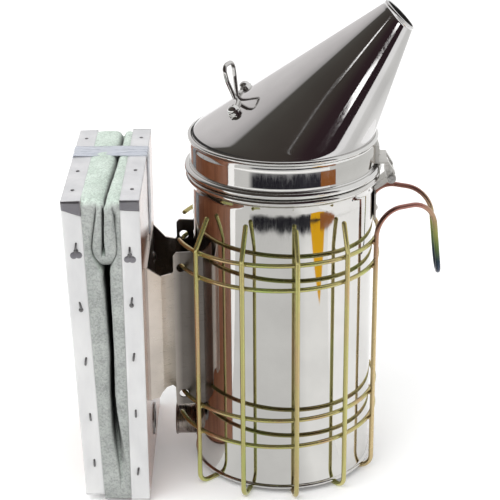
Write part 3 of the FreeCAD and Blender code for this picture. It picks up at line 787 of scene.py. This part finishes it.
def guard():
    """Four open rings, eight uprights that toe in to the can, and weld lumps."""
    for number, (place, (start, end)) in enumerate(RING_SPANS.items()):
        steps = 120
        route = []
        for i in range(steps + 1):
            a = start + (end - start) * i / steps
            wobble = 0.25 * MM * math.sin(math.radians(3 * a + 40 * (number + 1)))
            route.append(on_guard(RING_R, a, RING_HEIGHTS[place] + wobble))
        ring = new_piece("wire_ring_" + place, *tube_mesh(route, RING_WIRE), WIRE)
        settle(ring, BODY, "zinc_wire", "guard_ring_" + place)
    for side, name in ((-1, "near"), (1, "far")):
        parts = []
        for angle in UPRIGHT_ANGLES:
            a = side * angle
            tip_z = UPRIGHT_TOP + rng.uniform(-1.5, 1.5) * MM
            route = [on_guard(UPRIGHT_R - FOOT_INSET, a, UPRIGHT_LOOK),
                     on_guard(UPRIGHT_R, a, UPRIGHT_LOOK), on_guard(UPRIGHT_R, a, LEAN_Z),
                     on_guard(touching_can(a) + TIP_GAP, a, tip_z)]
            parts.append(tube_mesh(rounded_route(route, 6 * MM), UPRIGHT_LOOK, 20))
            out = on_guard(1, a, 0) - on_guard(0, a, 0)
            parts += [weld_spot(a, z, out) for z in RING_HEIGHTS.values()]
        obj = new_piece("wire_uprights_" + name, *joined(parts), WIRE)
        settle(obj, BODY, "zinc_wire", "guard_uprights_" + name)


HOOK_OUTER = Vector((82.5 * MM, 9 * MM, 0))      # where the arch turns down, in plan
HOOK_TIP = Vector((87.3 * MM, 8.5 * MM, 115.8 * MM))
HOOK_BEND = 15.1 * MM


def hook():
    """Hairpin of wire: two legs up the guard, closing in over an arch, joined at the tip."""
    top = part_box("hanging_hook")[1][2] - UPRIGHT_WIRE
    half = [on_guard(UPRIGHT_R - FOOT_INSET, HOOK_ANGLE, UPRIGHT_WIRE),
            on_guard(UPRIGHT_R, HOOK_ANGLE, UPRIGHT_WIRE), on_guard(UPRIGHT_R, HOOK_ANGLE, top),
            HOOK_OUTER + Vector((0, 0, top)), HOOK_TIP]
    route = half + [Vector((p.x, -p.y, p.z)) for p in reversed(half)]
    parts = [tube_mesh(rounded_route(route, HOOK_BEND, 20), UPRIGHT_LOOK, 20)]
    for z in RING_HEIGHTS.values():
        parts += [weld_spot(side * HOOK_ANGLE, z, Vector((1, 0, 0))) for side in (-1, 1)]
    obj = new_piece("hook_wire_hairpin", *joined(parts), HOOK_WIRE)
    settle(obj, BODY, "zinc_wire", "hanging_hook")


# ---- boards: trim and nails ---------------------------------------------------------
# heights up the board and places across it, in mm
SIDE_NAILS = {"front": (18.0, 54.5, 89.0, 122.0, 151.0), "rear": (20.0, 49.0, 83.0, 116.0, 150.0)}
TOP_NAILS = (-40.0, -11.0, 43.0)
NAIL_V = 0.42 * BOARD_T
TOP_NAIL_V = NAIL_V + 1.2 * MM
BOARD_HEIGHT = {"front": BOARD_TOP - FRONT_FOOT, "rear": REAR_HEIGHT}
# each flap's drop at the inner and the outer edge, its lift off the board, and a seed
FLAPS = {"front": ((5.2, 6.0, 0.45, 4), (5.0, 1.6, 0.95, 5)), "rear": ((8.3, 4.6, 0.45, 3),)}


def trim_strip(length, nails, seed, place):
    """Thin band of metal nailed down: flat, slightly wavy, dimpled around each nail.

    place(u, v, out) turns distances along, across and outwards into a point.
    """
    cols = int(length / MM)
    rows = 14
    wave = random.Random(seed)
    phases = [wave.uniform(0, 6.28) for _ in range(4)]

    def lift(u, v):
        edge = min(v, BOARD_T - v, u, length - u)
        rolled = -0.25 * MM * (1 - smoothstep(0, 1.3 * MM, edge))
        ripple = 0.10 * MM * (math.sin(u * 210 + phases[0]) + math.sin(u * 95 + v * 60 + phases[1]))
        dent = 0
        for nu, nv in nails:
            d = math.hypot((u - nu) / (4.2 * MM), (v - nv) / (3.4 * MM))
            dent -= 0.55 * MM * math.exp(-d * d * 1.6)
        return rolled + ripple * smoothstep(0, 3 * MM, edge) + dent

    spots = [(length * i / cols, BOARD_T * j / rows)
             for i in range(cols + 1) for j in range(rows + 1)]
    outer = [place(u, v, lift(u, v)) for u, v in spots]
    inner = [place(u, v, -1.0 * MM) for u, v in spots]
    return slab(outer, inner, cols, rows)


def board_trim(board, body):
    """All four strips of one board, each its own piece, with its nails' dimples."""
    height = BOARD_HEIGHT[board]
    tops = [(HALF_WIDTH + y * MM, TOP_NAIL_V) for y in TOP_NAILS]
    sides = [(z * MM, NAIL_V) for z in SIDE_NAILS[board]]
    strips = {
        "near": (height - 0.4 * MM, sides, 11,
                 lambda u, v, out: board_point(board, v, -HALF_WIDTH - out, u)),
        "far": (height - 0.4 * MM, sides, 12,
                lambda u, v, out: board_point(board, v, HALF_WIDTH + out, u)),
        "top": (2 * HALF_WIDTH, tops, 13,
                lambda u, v, out: board_point(board, v, u - HALF_WIDTH, height + out)),
        "foot": (2 * HALF_WIDTH, [], 14,
                 lambda u, v, out: board_point(board, v, u - HALF_WIDTH, -out)),
    }
    for place, strip in strips.items():
        obj = new_piece(f"{board}_trim_{place}", *trim_strip(*strip), EDGING)
        settle(obj, body, "edging_metal", f"{board}_strip_{place}")


def board_point(board, v, y, z):
    """Point at distance v out from a board's inner face and height z up the board."""
    if board == "front":
        return Vector((FRONT_IN + v, y, FRONT_FOOT + z))
    return on_rear(-v, y, z)


def corner_flap(board, side, inner_drop, outer_drop, lift, seed):
    """End of the top strip, folded down over the side strip and cut at a slant."""
    cols, rows = 10, 8
    phase = random.Random(seed).uniform(0, 6.28)
    top = BOARD_HEIGHT[board] - 0.2 * MM
    layers = []
    for thick in (lift, lift - 0.45 * MM):
        grid = []
        for i in range(cols + 1):
            v = BOARD_T * (0.01 + 0.98 * i / cols)
            drop = inner_drop + (outer_drop - inner_drop) * i / cols
            bow = 0.18 * MM * math.sin(3.1 * i / cols + phase) + 0.25 * MM
            for j in range(rows + 1):
                t = j / rows
                proud = thick + bow * t if j else thick - 0.5 * MM
                grid.append(board_point(board, v, side * (HALF_WIDTH + proud), top - drop * t))
        layers.append(grid)
    return slab(*layers, cols, rows)


def dome(centre, out, radius, height, sides=20):
    """Low domed disc."""
    rings = [circle(centre - out * 0.4 * MM, out, radius, sides)]
    for turn in range(0, 90, 15):
        a = math.radians(turn)
        rings.append(circle(centre + out * (height * math.sin(a)), out, radius * math.cos(a),
                            sides))
    return rings_mesh(rings, caps=True)


def board_nails(board, body):
    """Bent-over nails up the sides and sunk nail heads along the top."""
    parts = []
    for side in (-1, 1):
        for i, nail_z in enumerate(SIDE_NAILS[board]):
            lean = rng.uniform(-0.12, 0.12)
            stem = [board_point(board, NAIL_V + lean * v * MM, side * (HALF_WIDTH + out * MM),
                                (nail_z + z) * MM)
                    for v, out, z in ((-4, -0.35, 2.4), (0, 0.3, 0), (2, -0.2, -1.6))]
            parts.append(tube_mesh(rounded_route(stem, 6 * MM), 0.55 * MM, 10))
            if i >= 3:
                head = board_point(board, NAIL_V, side * (HALF_WIDTH - 0.1 * MM),
                                   (nail_z - 1.9) * MM)
                parts.append(dome(head, Vector((0, side, 0)), 1.25 * MM, 0.7 * MM))
    up = (board_point(board, 0, 0, 1) - board_point(board, 0, 0, 0)).normalized()
    for y in TOP_NAILS:
        head = board_point(board, TOP_NAIL_V, y * MM, BOARD_HEIGHT[board] - 0.42 * MM)
        parts.append(dome(head, up, 1.05 * MM, 0.35 * MM))
    obj = new_piece(board + "_nail_set", *joined(parts), NAIL_STEEL)
    settle(obj, body, "hardware_steel", board + "_nails")


def hammer_dents_and_shade(board, body):
    """Hammer dents below the top nails of both side strips, drawn as low dark ovals: the dents are
    real, their darkness is a painted dark reflection.
    """
    parts = []
    nail_z = SIDE_NAILS[board][-1]
    for side in (-1, 1):
        for v, z, r in ((-1.3, -4.3, 1.9), (1.4, -4.4, 2.0)):
            spot = board_point(board, NAIL_V + v * MM, side * (HALF_WIDTH - 0.12 * MM),
                               (nail_z + z) * MM)
            parts.append(dome(spot, Vector((0, side, 0)), r * MM, 0.3 * MM, 28))
    settle(new_piece(board + "_hammer_dents_and_shade", *joined(parts), PAINTED_SHADE_STEEL), body, "edging_metal")


def flaps(board, body):
    parts = [corner_flap(board, side, *(size * MM for size in sizes), seed)
             for side in (-1, 1) for *sizes, seed in FLAPS[board]]
    # the flaps are edging metal coloured dark grey as painted shade
    settle(new_piece(board + "_corner_flaps", *joined(parts), PAINTED_SHADE_STEEL), body, "edging_metal")


# ---- bellows skin, spring and strap -------------------------------------------------
SKIN_SIDE = HALF_WIDTH - 0.5 * MM            # the skin's middle line, flush with the strips
SKIN_TOP = BOARD_TOP - 0.9 * MM
SKIN_CORNER = 4.0 * MM
SKIN_FOOT = FRONT_FOOT + 1.2 * MM
SKIN_RISE = SKIN_TOP - SKIN_CORNER - SKIN_FOOT
SKIN_BEND = math.pi / 2 * SKIN_CORNER
SKIN_RUN = 2 * (SKIN_RISE + SKIN_BEND + SKIN_SIDE - SKIN_CORNER)
STRAP_LIFT = 0.35 * MM                      # the strap's middle line above the boards

# Side fold, by height in mm: left edge and right edge as shares of the gap, and depth in mm.
FOLD = [(5, 0.60, 0.70, 0.0), (13, 0.60, 0.84, 1.0), (22, 0.56, 0.84, 3.0),
        (32, 0.48, 0.78, 6.5), (44, 0.41, 0.70, 12), (56, 0.41, 0.64, 18),
        (67, 0.42, 0.615, 22), (90, 0.49, 0.655, 24), (112, 0.47, 0.655, 25),
        (128, 0.46, 0.65, 25), (135, 0.43, 0.665, 22), (138.9, 0.45, 0.665, 15),
        (140.9, 0.42, 0.68, 9), (143, 0.36, 0.72, 4.5), (147, 0.285, 0.80, 0.8),
        (150, 0.235, 0.85, -0.8), (153.5, 0.21, 0.87, -1.5), (159.6, 0.25, 0.867, -1.6),
        (163.8, 0.29, 0.853, -1.6), (170, 0.345, 0.835, -1.2), (176, 0.39, 0.80, -0.6),
        (182, 0.42, 0.77, 0.0)]


def row_at(table, key):
    """Straight-line values between rows that are sorted by their first number."""
    if key <= table[0][0]:
        return table[0][1:]
    for low, high in zip(table, table[1:]):
        if key <= high[0]:
            t = (key - low[0]) / (high[0] - low[0])
            return [a + (b - a) * t for a, b in zip(low[1:], high[1:])]
    return table[-1][1:]


def side_depth(u, z):
    """How far, in mm, the side of the skin lies inwards at share u and height z in mm."""
    left, right, deep = row_at(FOLD, z)
    soft_left = 0.022
    soft_right = 0.022 + 0.20 * (1 - smoothstep(14, 62, z))
    inside = smoothstep(left - soft_left, left + soft_left, u)
    inside *= 1 - smoothstep(right - soft_right, right + soft_right * 0.6, u)
    depth = deep * inside
    # rounded lips beside the fold
    for edge in (left, right):
        depth += 1.1 * math.exp(-((u - edge) / 0.055) ** 2) * smoothstep(1, 8, abs(deep))
    # creases that outline the bulging ear, stronger on its left
    ear = smoothstep(139, 146, z) * (1 - smoothstep(171, 179, z))
    depth += 5.5 * ear * math.exp(-((u - left) / 0.028) ** 2)
    depth += 3.2 * ear * math.exp(-((u - right) / 0.020) ** 2)
    depth += 2.4 * math.exp(-((u - 0.86) / 0.05) ** 2) * math.exp(-((z - 170.5) / 4) ** 2)
    # slit down the middle of the ear
    middle = 0.513 + 0.045 * smoothstep(152, 176, z)
    half = 0.016 + 0.022 * (1 - smoothstep(151, 158, z))
    slit = smoothstep(149.5, 151.5, z) * (1 - smoothstep(172, 178, z))
    depth += 13 * slit * (1 - smoothstep(half, half + 0.045, abs(u - middle)))
    # slight slack everywhere
    depth += 0.22 * math.sin(0.16 * z + 5 * u) * math.sin(math.pi * min(max(u, 0), 1))
    return depth


def top_depth(u, y):
    """How far, in mm, the top of the skin lies down at share u and place y in mm."""
    crease = 0.66 + 0.05 * math.sin((y + 20) / 26) + 0.06 * smoothstep(20, 57, y)
    near = smoothstep(4, -52, y)
    depth = (4.5 + 4.5 * near) * math.exp(-((u - crease) / (0.028 + 0.02 * (1 - near))) ** 2)
    depth += 1.5 * math.exp(-((u - crease) / 0.10) ** 2)
    lobe = math.sin(math.pi * min(max(u / crease, 0), 1))
    depth -= 0.9 * lobe if u < crease else 0.0
    depth -= 0.6 * math.sin(math.pi * min(max((u - crease) / (1 - crease), 0), 1))
    depth += 0.18 * math.sin(0.35 * y + 3 * u) + 0.12 * math.sin(0.9 * y - 8 * u)
    return depth


def skin_point(u, s):
    """Point of the skin at share u of the gap and distance s along it from the near foot."""
    far = s > SKIN_RUN / 2
    if far:
        s = SKIN_RUN - s
    turn = min(max((s - SKIN_RISE) / SKIN_CORNER, 0), math.pi / 2)
    inward_y, inward_z = math.cos(turn), -math.sin(turn)
    y = -SKIN_SIDE + SKIN_CORNER * (1 - inward_y) + max(s - SKIN_RISE - SKIN_BEND, 0)
    z = SKIN_FOOT + min(s, SKIN_RISE) - SKIN_CORNER * inward_z
    depth = (1 + inward_z) * side_depth(u, z / MM)
    depth -= inward_z * top_depth(u, (-y if far else y) / MM)
    # at the very edges the skin stays tucked against the boards
    depth *= smoothstep(0.0, 0.05, u) * (1 - smoothstep(0.95, 1.0, u))
    y += inward_y * depth * MM
    z += inward_z * depth * MM
    if far:
        y = -y
    lower = on_rear(0, 0, (z - REAR_FOOT.z) / math.cos(REAR_TILT)).x
    return Vector((lower + u * (FRONT_IN - lower), y, z))


def share_grid(count):
    """Shares 0 to 1 across the gap, closer together where the fold's edges are."""
    plain = [i / count for i in range(count + 1)]
    return [u - 0.035 * math.sin(4 * math.pi * u) / 1.3 for u in plain]


def bellows_skin():
    """One sheet of leatherette over the near side, the top and the far side."""
    rows = int(SKIN_RUN / (1.1 * MM))
    shares = share_grid(84)
    verts = [skin_point(u, SKIN_RUN * i / rows) for i in range(rows + 1) for u in shares]
    faces = grid_faces(rows, len(shares) - 1)
    obj = new_piece("bellows_leatherette", verts, faces, SUEDE, closed=False)
    thick = obj.modifiers.new("thickness", "SOLIDIFY")
    thick.thickness = 0.9 * MM
    thick.offset = 0
    bake_modifiers(obj)
    smooth(obj)
    bridge(obj, "bellows_skin")


def hinge_strip():
    """Leatherette strip that joins the two boards' feet."""
    low, high = [Vector(corner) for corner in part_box("board_hinge_strip")]
    size = high - low
    cols, rows = 16, 80
    outer = []
    for i in range(cols + 1):
        for j in range(rows + 1):
            ripple = 0.15 * MM * math.sin(3.1 * i / cols) * math.sin(j * 0.7)
            outer.append(Vector((low.x + size.x * i / cols, low.y + size.y * j / rows,
                                 low.z + size.z / 2 + 0.5 * MM + ripple)))
    inner = [p - Vector((0, 0, 1 * MM)) for p in outer]
    obj = new_piece("foot_hinge_strip", *slab(outer, inner, cols, rows), SUEDE)
    bridge(obj, "board_hinge_strip")


def return_spring():
    """Wire coil between the boards, behind the skin."""
    low, high = [Vector(corner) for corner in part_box("bellows_spring")]
    wire = 0.8 * MM
    mid_z = (low.z + high.z) / 2
    radius = (high.z - low.z) / 2 - wire
    turns = 5
    steps = turns * 28
    route = []
    for i in range(steps + 1):
        a = 2 * math.pi * turns * i / steps
        route.append(Vector((low.x + wire + (high.x - low.x - 2 * wire) * i / steps,
                             radius * math.cos(a), mid_z + radius * math.sin(a))))
    obj = new_piece("spring_coil", *tube_mesh(route, wire, 10), HARDWARE)
    bridge(obj, "bellows_spring")


def storage_strap():
    """Thin cloudy strap over the top of both boards, with its ends down the outer faces."""
    width = band_high[1] - band_low[1]
    foot_z = band_low[2]
    out_front = FRONT_OUT + STRAP_LIFT
    over = BOARD_TOP + STRAP_LIFT
    out_rear = on_rear(-BOARD_T, 0, REAR_HEIGHT).x - 0.1 * MM
    down_rear = (foot_z - REAR_FOOT.z) / math.cos(REAR_TILT)
    line = rounded_route([(out_front, 0, foot_z), (out_front, 0, over), (out_rear, 0, over),
                          on_rear(-BOARD_T - STRAP_LIFT, 0, down_rear)], 1.2 * MM, 6)
    dense = []
    for a, b in zip(line, line[1:]):
        steps = max(int((b - a).length / (1.5 * MM)), 1)
        dense += [a.lerp(b, i / steps) for i in range(steps)]
    dense.append(line[-1])
    cols = 14
    rings = []
    for i, p in enumerate(dense):
        ahead = (dense[min(i + 1, len(dense) - 1)] - dense[max(i - 1, 0)]).normalized()
        out = Vector((0, 1, 0)).cross(ahead)
        ring = []
        for layer, order in ((1, range(cols + 1)), (-1, range(cols, -1, -1))):
            for j in order:
                curl = 0.175 * MM * max(1 - j / 3, 0)
                wave = 0.12 * MM * math.sin(i * 0.35 + j * 0.5)
                y = band_low[1] + width * j / cols
                ring.append(Vector((p.x, y, p.z)) - out * (layer * 0.2 * MM + curl + wave))
        rings.append(ring)
    obj = new_piece("storage_strap_film", *rings_mesh(rings, caps=True), STRAP)
    bridge(obj, "storage_band")


# ---- CAD nodes that stay ------------------------------------------------------------
def finish_nodes():
    """Materials and softened edges for the metal and wood that keep their CAD shape."""
    looks = {
        "chamber_base": (SHEET_STEEL, 0.15), "grate_plate": (SHEET_STEEL, 0.12),
        "grate_legs": (SHEET_STEEL, 0.12), "can_hinge_leaf": (HINGE_STEEL, 0.18),
        "can_leaf_rivets": (HINGE_STEEL, 0.15), "hinge_pin": (HARDWARE, 0.15),
        "lid_hinge_leaf": (HINGE_STEEL, 0.18), "lid_leaf_rivets": (HINGE_STEEL, 0.15),
        "front_board": (WOOD, 0.35), "rear_board": (WOOD, 0.35),
        "bracket_screws": (HARDWARE, 0.15), "bellows_bracket": (SHEET_STEEL, 0.22),
        "outlet_eyelet": (HARDWARE, 0.2), "valve_flap": (SUEDE, 0.25),
        "valve_strip": (WOOD, 0.3), "valve_tacks": (HARDWARE, 0.15),
    }
    for name, (look, width) in looks.items():
        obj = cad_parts[name]
        obj.data.materials.clear()
        obj.data.materials.append(look)
        soften(obj, width * MM)
        smooth(obj)


# ---- stage --------------------------------------------------------------------------
def unlit(name, colour, strength=1.0):
    """Plain glowing material for cards, so that their tone doesn't depend on the lights."""
    mat = bpy.data.materials.new(name)
    mat.use_nodes = True
    tree = mat.node_tree
    tree.nodes.clear()
    glow = tree.nodes.new("ShaderNodeEmission")
    glow.inputs["Color"].default_value = (*colour, 1.0)
    glow.inputs["Strength"].default_value = strength
    out = tree.nodes.new("ShaderNodeOutputMaterial")
    tree.links.new(glow.outputs["Emission"], out.inputs["Surface"])
    return mat, tree, glow.inputs["Color"]


def card(name, verts, mat, faces=((0, 1, 2, 3),)):
    """Stage piece that only mirrors see: it casts no shadow and lights nothing."""
    mesh = new_mesh(name, verts, faces)
    mesh.materials.append(mat)
    obj = in_scene(name, mesh)
    obj.visible_camera = False
    obj.visible_diffuse = False
    obj.visible_shadow = False
    obj.visible_transmission = False


def towards(azimuth, elevation, distance):
    """Far point in a given direction; azimuth 0 is towards the camera, 90 is +X."""
    a = math.radians(azimuth)
    e = math.radians(elevation)
    return Vector((math.sin(a) * math.cos(e), -math.cos(a) * math.cos(e), math.sin(e))) * distance


def azimuth_of(tree):
    """Azimuth of the shaded point round the can, in degrees, as in towards()."""
    place = xyz(tree)
    back = calc(tree, "MULTIPLY", place["Y"], -1.0)
    return calc(tree, "DEGREES", calc(tree, "ARCTAN2", place["X"], back))


def reach_of(tree):
    """Distance of the shaded point from the can's axis, along the floor."""
    return node(tree, "VectorMath", "Value", {0: object_coords(tree)}, operation="LENGTH")


ROOM = 30.0                    # distance of the mirrored room, far enough to show no parallax


def dark_room():
    """The unlit room above and in front, fading into the pale backdrop on the left."""
    first, last, foot = -180, 66, -3.5
    mat, tree, socket = unlit("dark_room", (0.05, 0.045, 0.04))
    tone = ramp(tree, remap(tree, azimuth_of(tree), first, last),
                (0.0, (0.85, 0.83, 0.83)), (0.12, (0.83, 0.81, 0.81)), (0.21, (0.68, 0.66, 0.66)),
                (0.27, (0.46, 0.45, 0.45)), (0.29, (0.10, 0.095, 0.085)),
                (0.44, (0.080, 0.072, 0.064)), (0.74, (0.062, 0.052, 0.046)),
                (0.82, (0.040, 0.024, 0.028)), (1.0, (0.030, 0.018, 0.022)))
    tree.links.new(tone, socket)
    cols, rows = 54, 20
    verts = [towards(first + (last - first) * i / cols, foot + (90 - foot) * j / rows, ROOM)
             for i in range(cols + 1) for j in range(rows + 1)]
    card("dark_room", verts, mat, grid_faces(cols, rows))


def streak(name, start, end, width, strength):
    """Thin bright bar between two directions, like a tube lamp far off."""
    distance = 0.9 * ROOM
    a = towards(*start, distance)
    b = towards(*end, distance)
    across = (b - a).cross(a + b).normalized() * (math.radians(width) * distance / 2)
    mat = unlit(name, (1, 1, 1), strength)[0]
    card(name, [a - across, b - across * 0.4, b + across * 0.4, a + across], mat)


def floor_sector(name, near, far, start, end, lift, mat):
    """Part of a ring on the floor around the can, between two azimuths."""
    cols = 24
    verts = []
    for i in range(cols + 1):
        a = math.radians(start + (end - start) * i / cols)
        verts += [(math.sin(a) * reach, -math.cos(a) * reach, lift) for reach in (near, far)]
    card(name, verts, mat, grid_faces(cols, 1))


def table_edge():
    """Dark far edge of the table in front, and two warm things beyond its right end."""
    lift = 0.4 * MM
    pale = (1.0, 1.0, 1.0)
    mat, tree, socket = unlit("table_band", pale)
    uneven = noise(tree, 7, 3, 0.6)
    reach = calc(tree, "ADD", reach_of(tree), calc(tree, "MULTIPLY", uneven, 0.04))
    band = ramp(tree, remap(tree, reach, 0.42, 0.72), (0.0, pale), (0.10, pale),
                (0.13, (0.02, 0.02, 0.026)), (0.54, (0.03, 0.03, 0.04)),
                (0.58, (0.50, 0.50, 0.52)), (0.66, pale))
    tone = ramp(tree, remap(tree, azimuth_of(tree), -60, 60), (0.0, (0.82, 0.82, 0.81)),
                (0.60, (0.80, 0.80, 0.79)), (0.72, (1.08, 1.08, 1.07)))
    band = mixed(tree, remap(tree, azimuth_of(tree), -42, -36), pale, band)
    tree.links.new(mixed(tree, 1.0, band, tone, "MULTIPLY"), socket)
    floor_sector("table_band", 0.052, 0.66, -60, 54, lift, mat)
    mat, tree, socket = unlit("far_table", pale, 1.1)
    tone = ramp(tree, remap(tree, reach_of(tree), 0.45, 1.45), (0.0, (0.95, 0.95, 0.94)),
                (0.10, (0.72, 0.72, 0.71)), (0.40, (0.80, 0.80, 0.79)), (0.60, pale))
    tree.links.new(tone, socket)
    floor_sector("far_table", 0.45, 3.9, 55, 150, lift * 1.5, mat)
    for name, colour, rise, corners in (
            ("amber", (0.95, 0.50, 0.02), 2,
             ((0.200, -0.215), (0.34, -0.285), (0.31, -0.33), (0.236, -0.385))),
            ("tan", (0.36, 0.13, 0.04), 3,
             ((0.30, -0.31), (0.40, -0.20), (0.52, -0.26), (0.40, -0.42)))):
        card(name, [(x, y, lift * rise) for x, y in corners], unlit(name, colour)[0])


def studio_floor():
    mesh = new_mesh("floor", [(-4, -4, 0), (4, -4, 0), (4, 4, 0), (-4, 4, 0)], [(0, 1, 2, 3)])
    mat, _, shader = material("floor")
    shader.inputs["Base Color"].default_value = (0.92, 0.92, 0.92, 1)
    shader.inputs["Roughness"].default_value = 0.9
    shader.inputs["Specular IOR Level"].default_value = 0.1
    shader.inputs["Emission Color"].default_value = (1, 1, 1, 1)
    shader.inputs["Emission Strength"].default_value = 0.12
    mesh.materials.append(mat)
    in_scene("floor", mesh)


def studio_light():
    """White surroundings and one soft key light from the upper left in front."""
    world = bpy.data.worlds.new("studio")
    bpy.context.scene.world = world
    world.use_nodes = True
    background = world.node_tree.nodes["Background"]
    background.inputs["Color"].default_value = (1, 1, 1, 1)
    background.inputs["Strength"].default_value = 1.0
    key = bpy.data.lights.new("key", "AREA")
    key.shape = "RECTANGLE"
    key.size, key.size_y = 1.6, 1.2
    key.energy = 16
    obj = in_scene("key", key)
    obj.location = (-0.7, -0.9, 1.6)
    obj.rotation_mode = "QUATERNION"
    aim = Vector((0, 0, 0.1)) - obj.location
    obj.rotation_quaternion = aim.to_track_quat("-Z", "Y")
    obj.visible_glossy = False


def stage():
    studio_floor()
    studio_light()
    dark_room()
    streak("lamp_high", (-9, 55), (-15.5, 57.5), 1.1, 2.0)
    streak("lamp_low", (46, 13), (35.5, 23), 1.7, 2.5)
    streak("lamp_far", (4, 41), (-20, 58), 0.35, 0.5)
    table_edge()


CAMERA_AT = (-18.4 * MM, -836.5 * MM, 482.9 * MM)
CAMERA_DOWN = 22.98            # degrees below level
CAMERA_ROLL = -0.007           # radians
CAMERA_LENS = 116.3            # on a sensor 36 wide, both in mm


def camera():
    """The photograph's own viewpoint."""
    data = bpy.data.cameras.new("camera")
    data.lens = CAMERA_LENS
    data.sensor_width = 36
    data.clip_start = 0.05
    data.clip_end = 20
    obj = in_scene("camera", data)
    pitch = math.radians(90 - CAMERA_DOWN)
    obj.matrix_world = (Matrix.Translation(CAMERA_AT) @ Matrix.Rotation(pitch, 4, "X")
                        @ Matrix.Rotation(CAMERA_ROLL, 4, "Z"))
    bpy.context.scene.camera = obj
    bpy.context.scene.view_settings.view_transform = "Standard"


# ---- assembly -----------------------------------------------------------------------
chamber_shell()
air_tube()
tube_weld()
lid_skirt()
lid_cone()
lid_handle()
guard()
hook()
for board_name, board_body in (("front", BODY), ("rear", REAR)):
    board_trim(board_name, board_body)
    board_nails(board_name, board_body)
    hammer_dents_and_shade(board_name, board_body)
    flaps(board_name, board_body)
bellows_skin()
hinge_strip()
return_spring()
storage_strap()
finish_nodes()
stage()
camera()
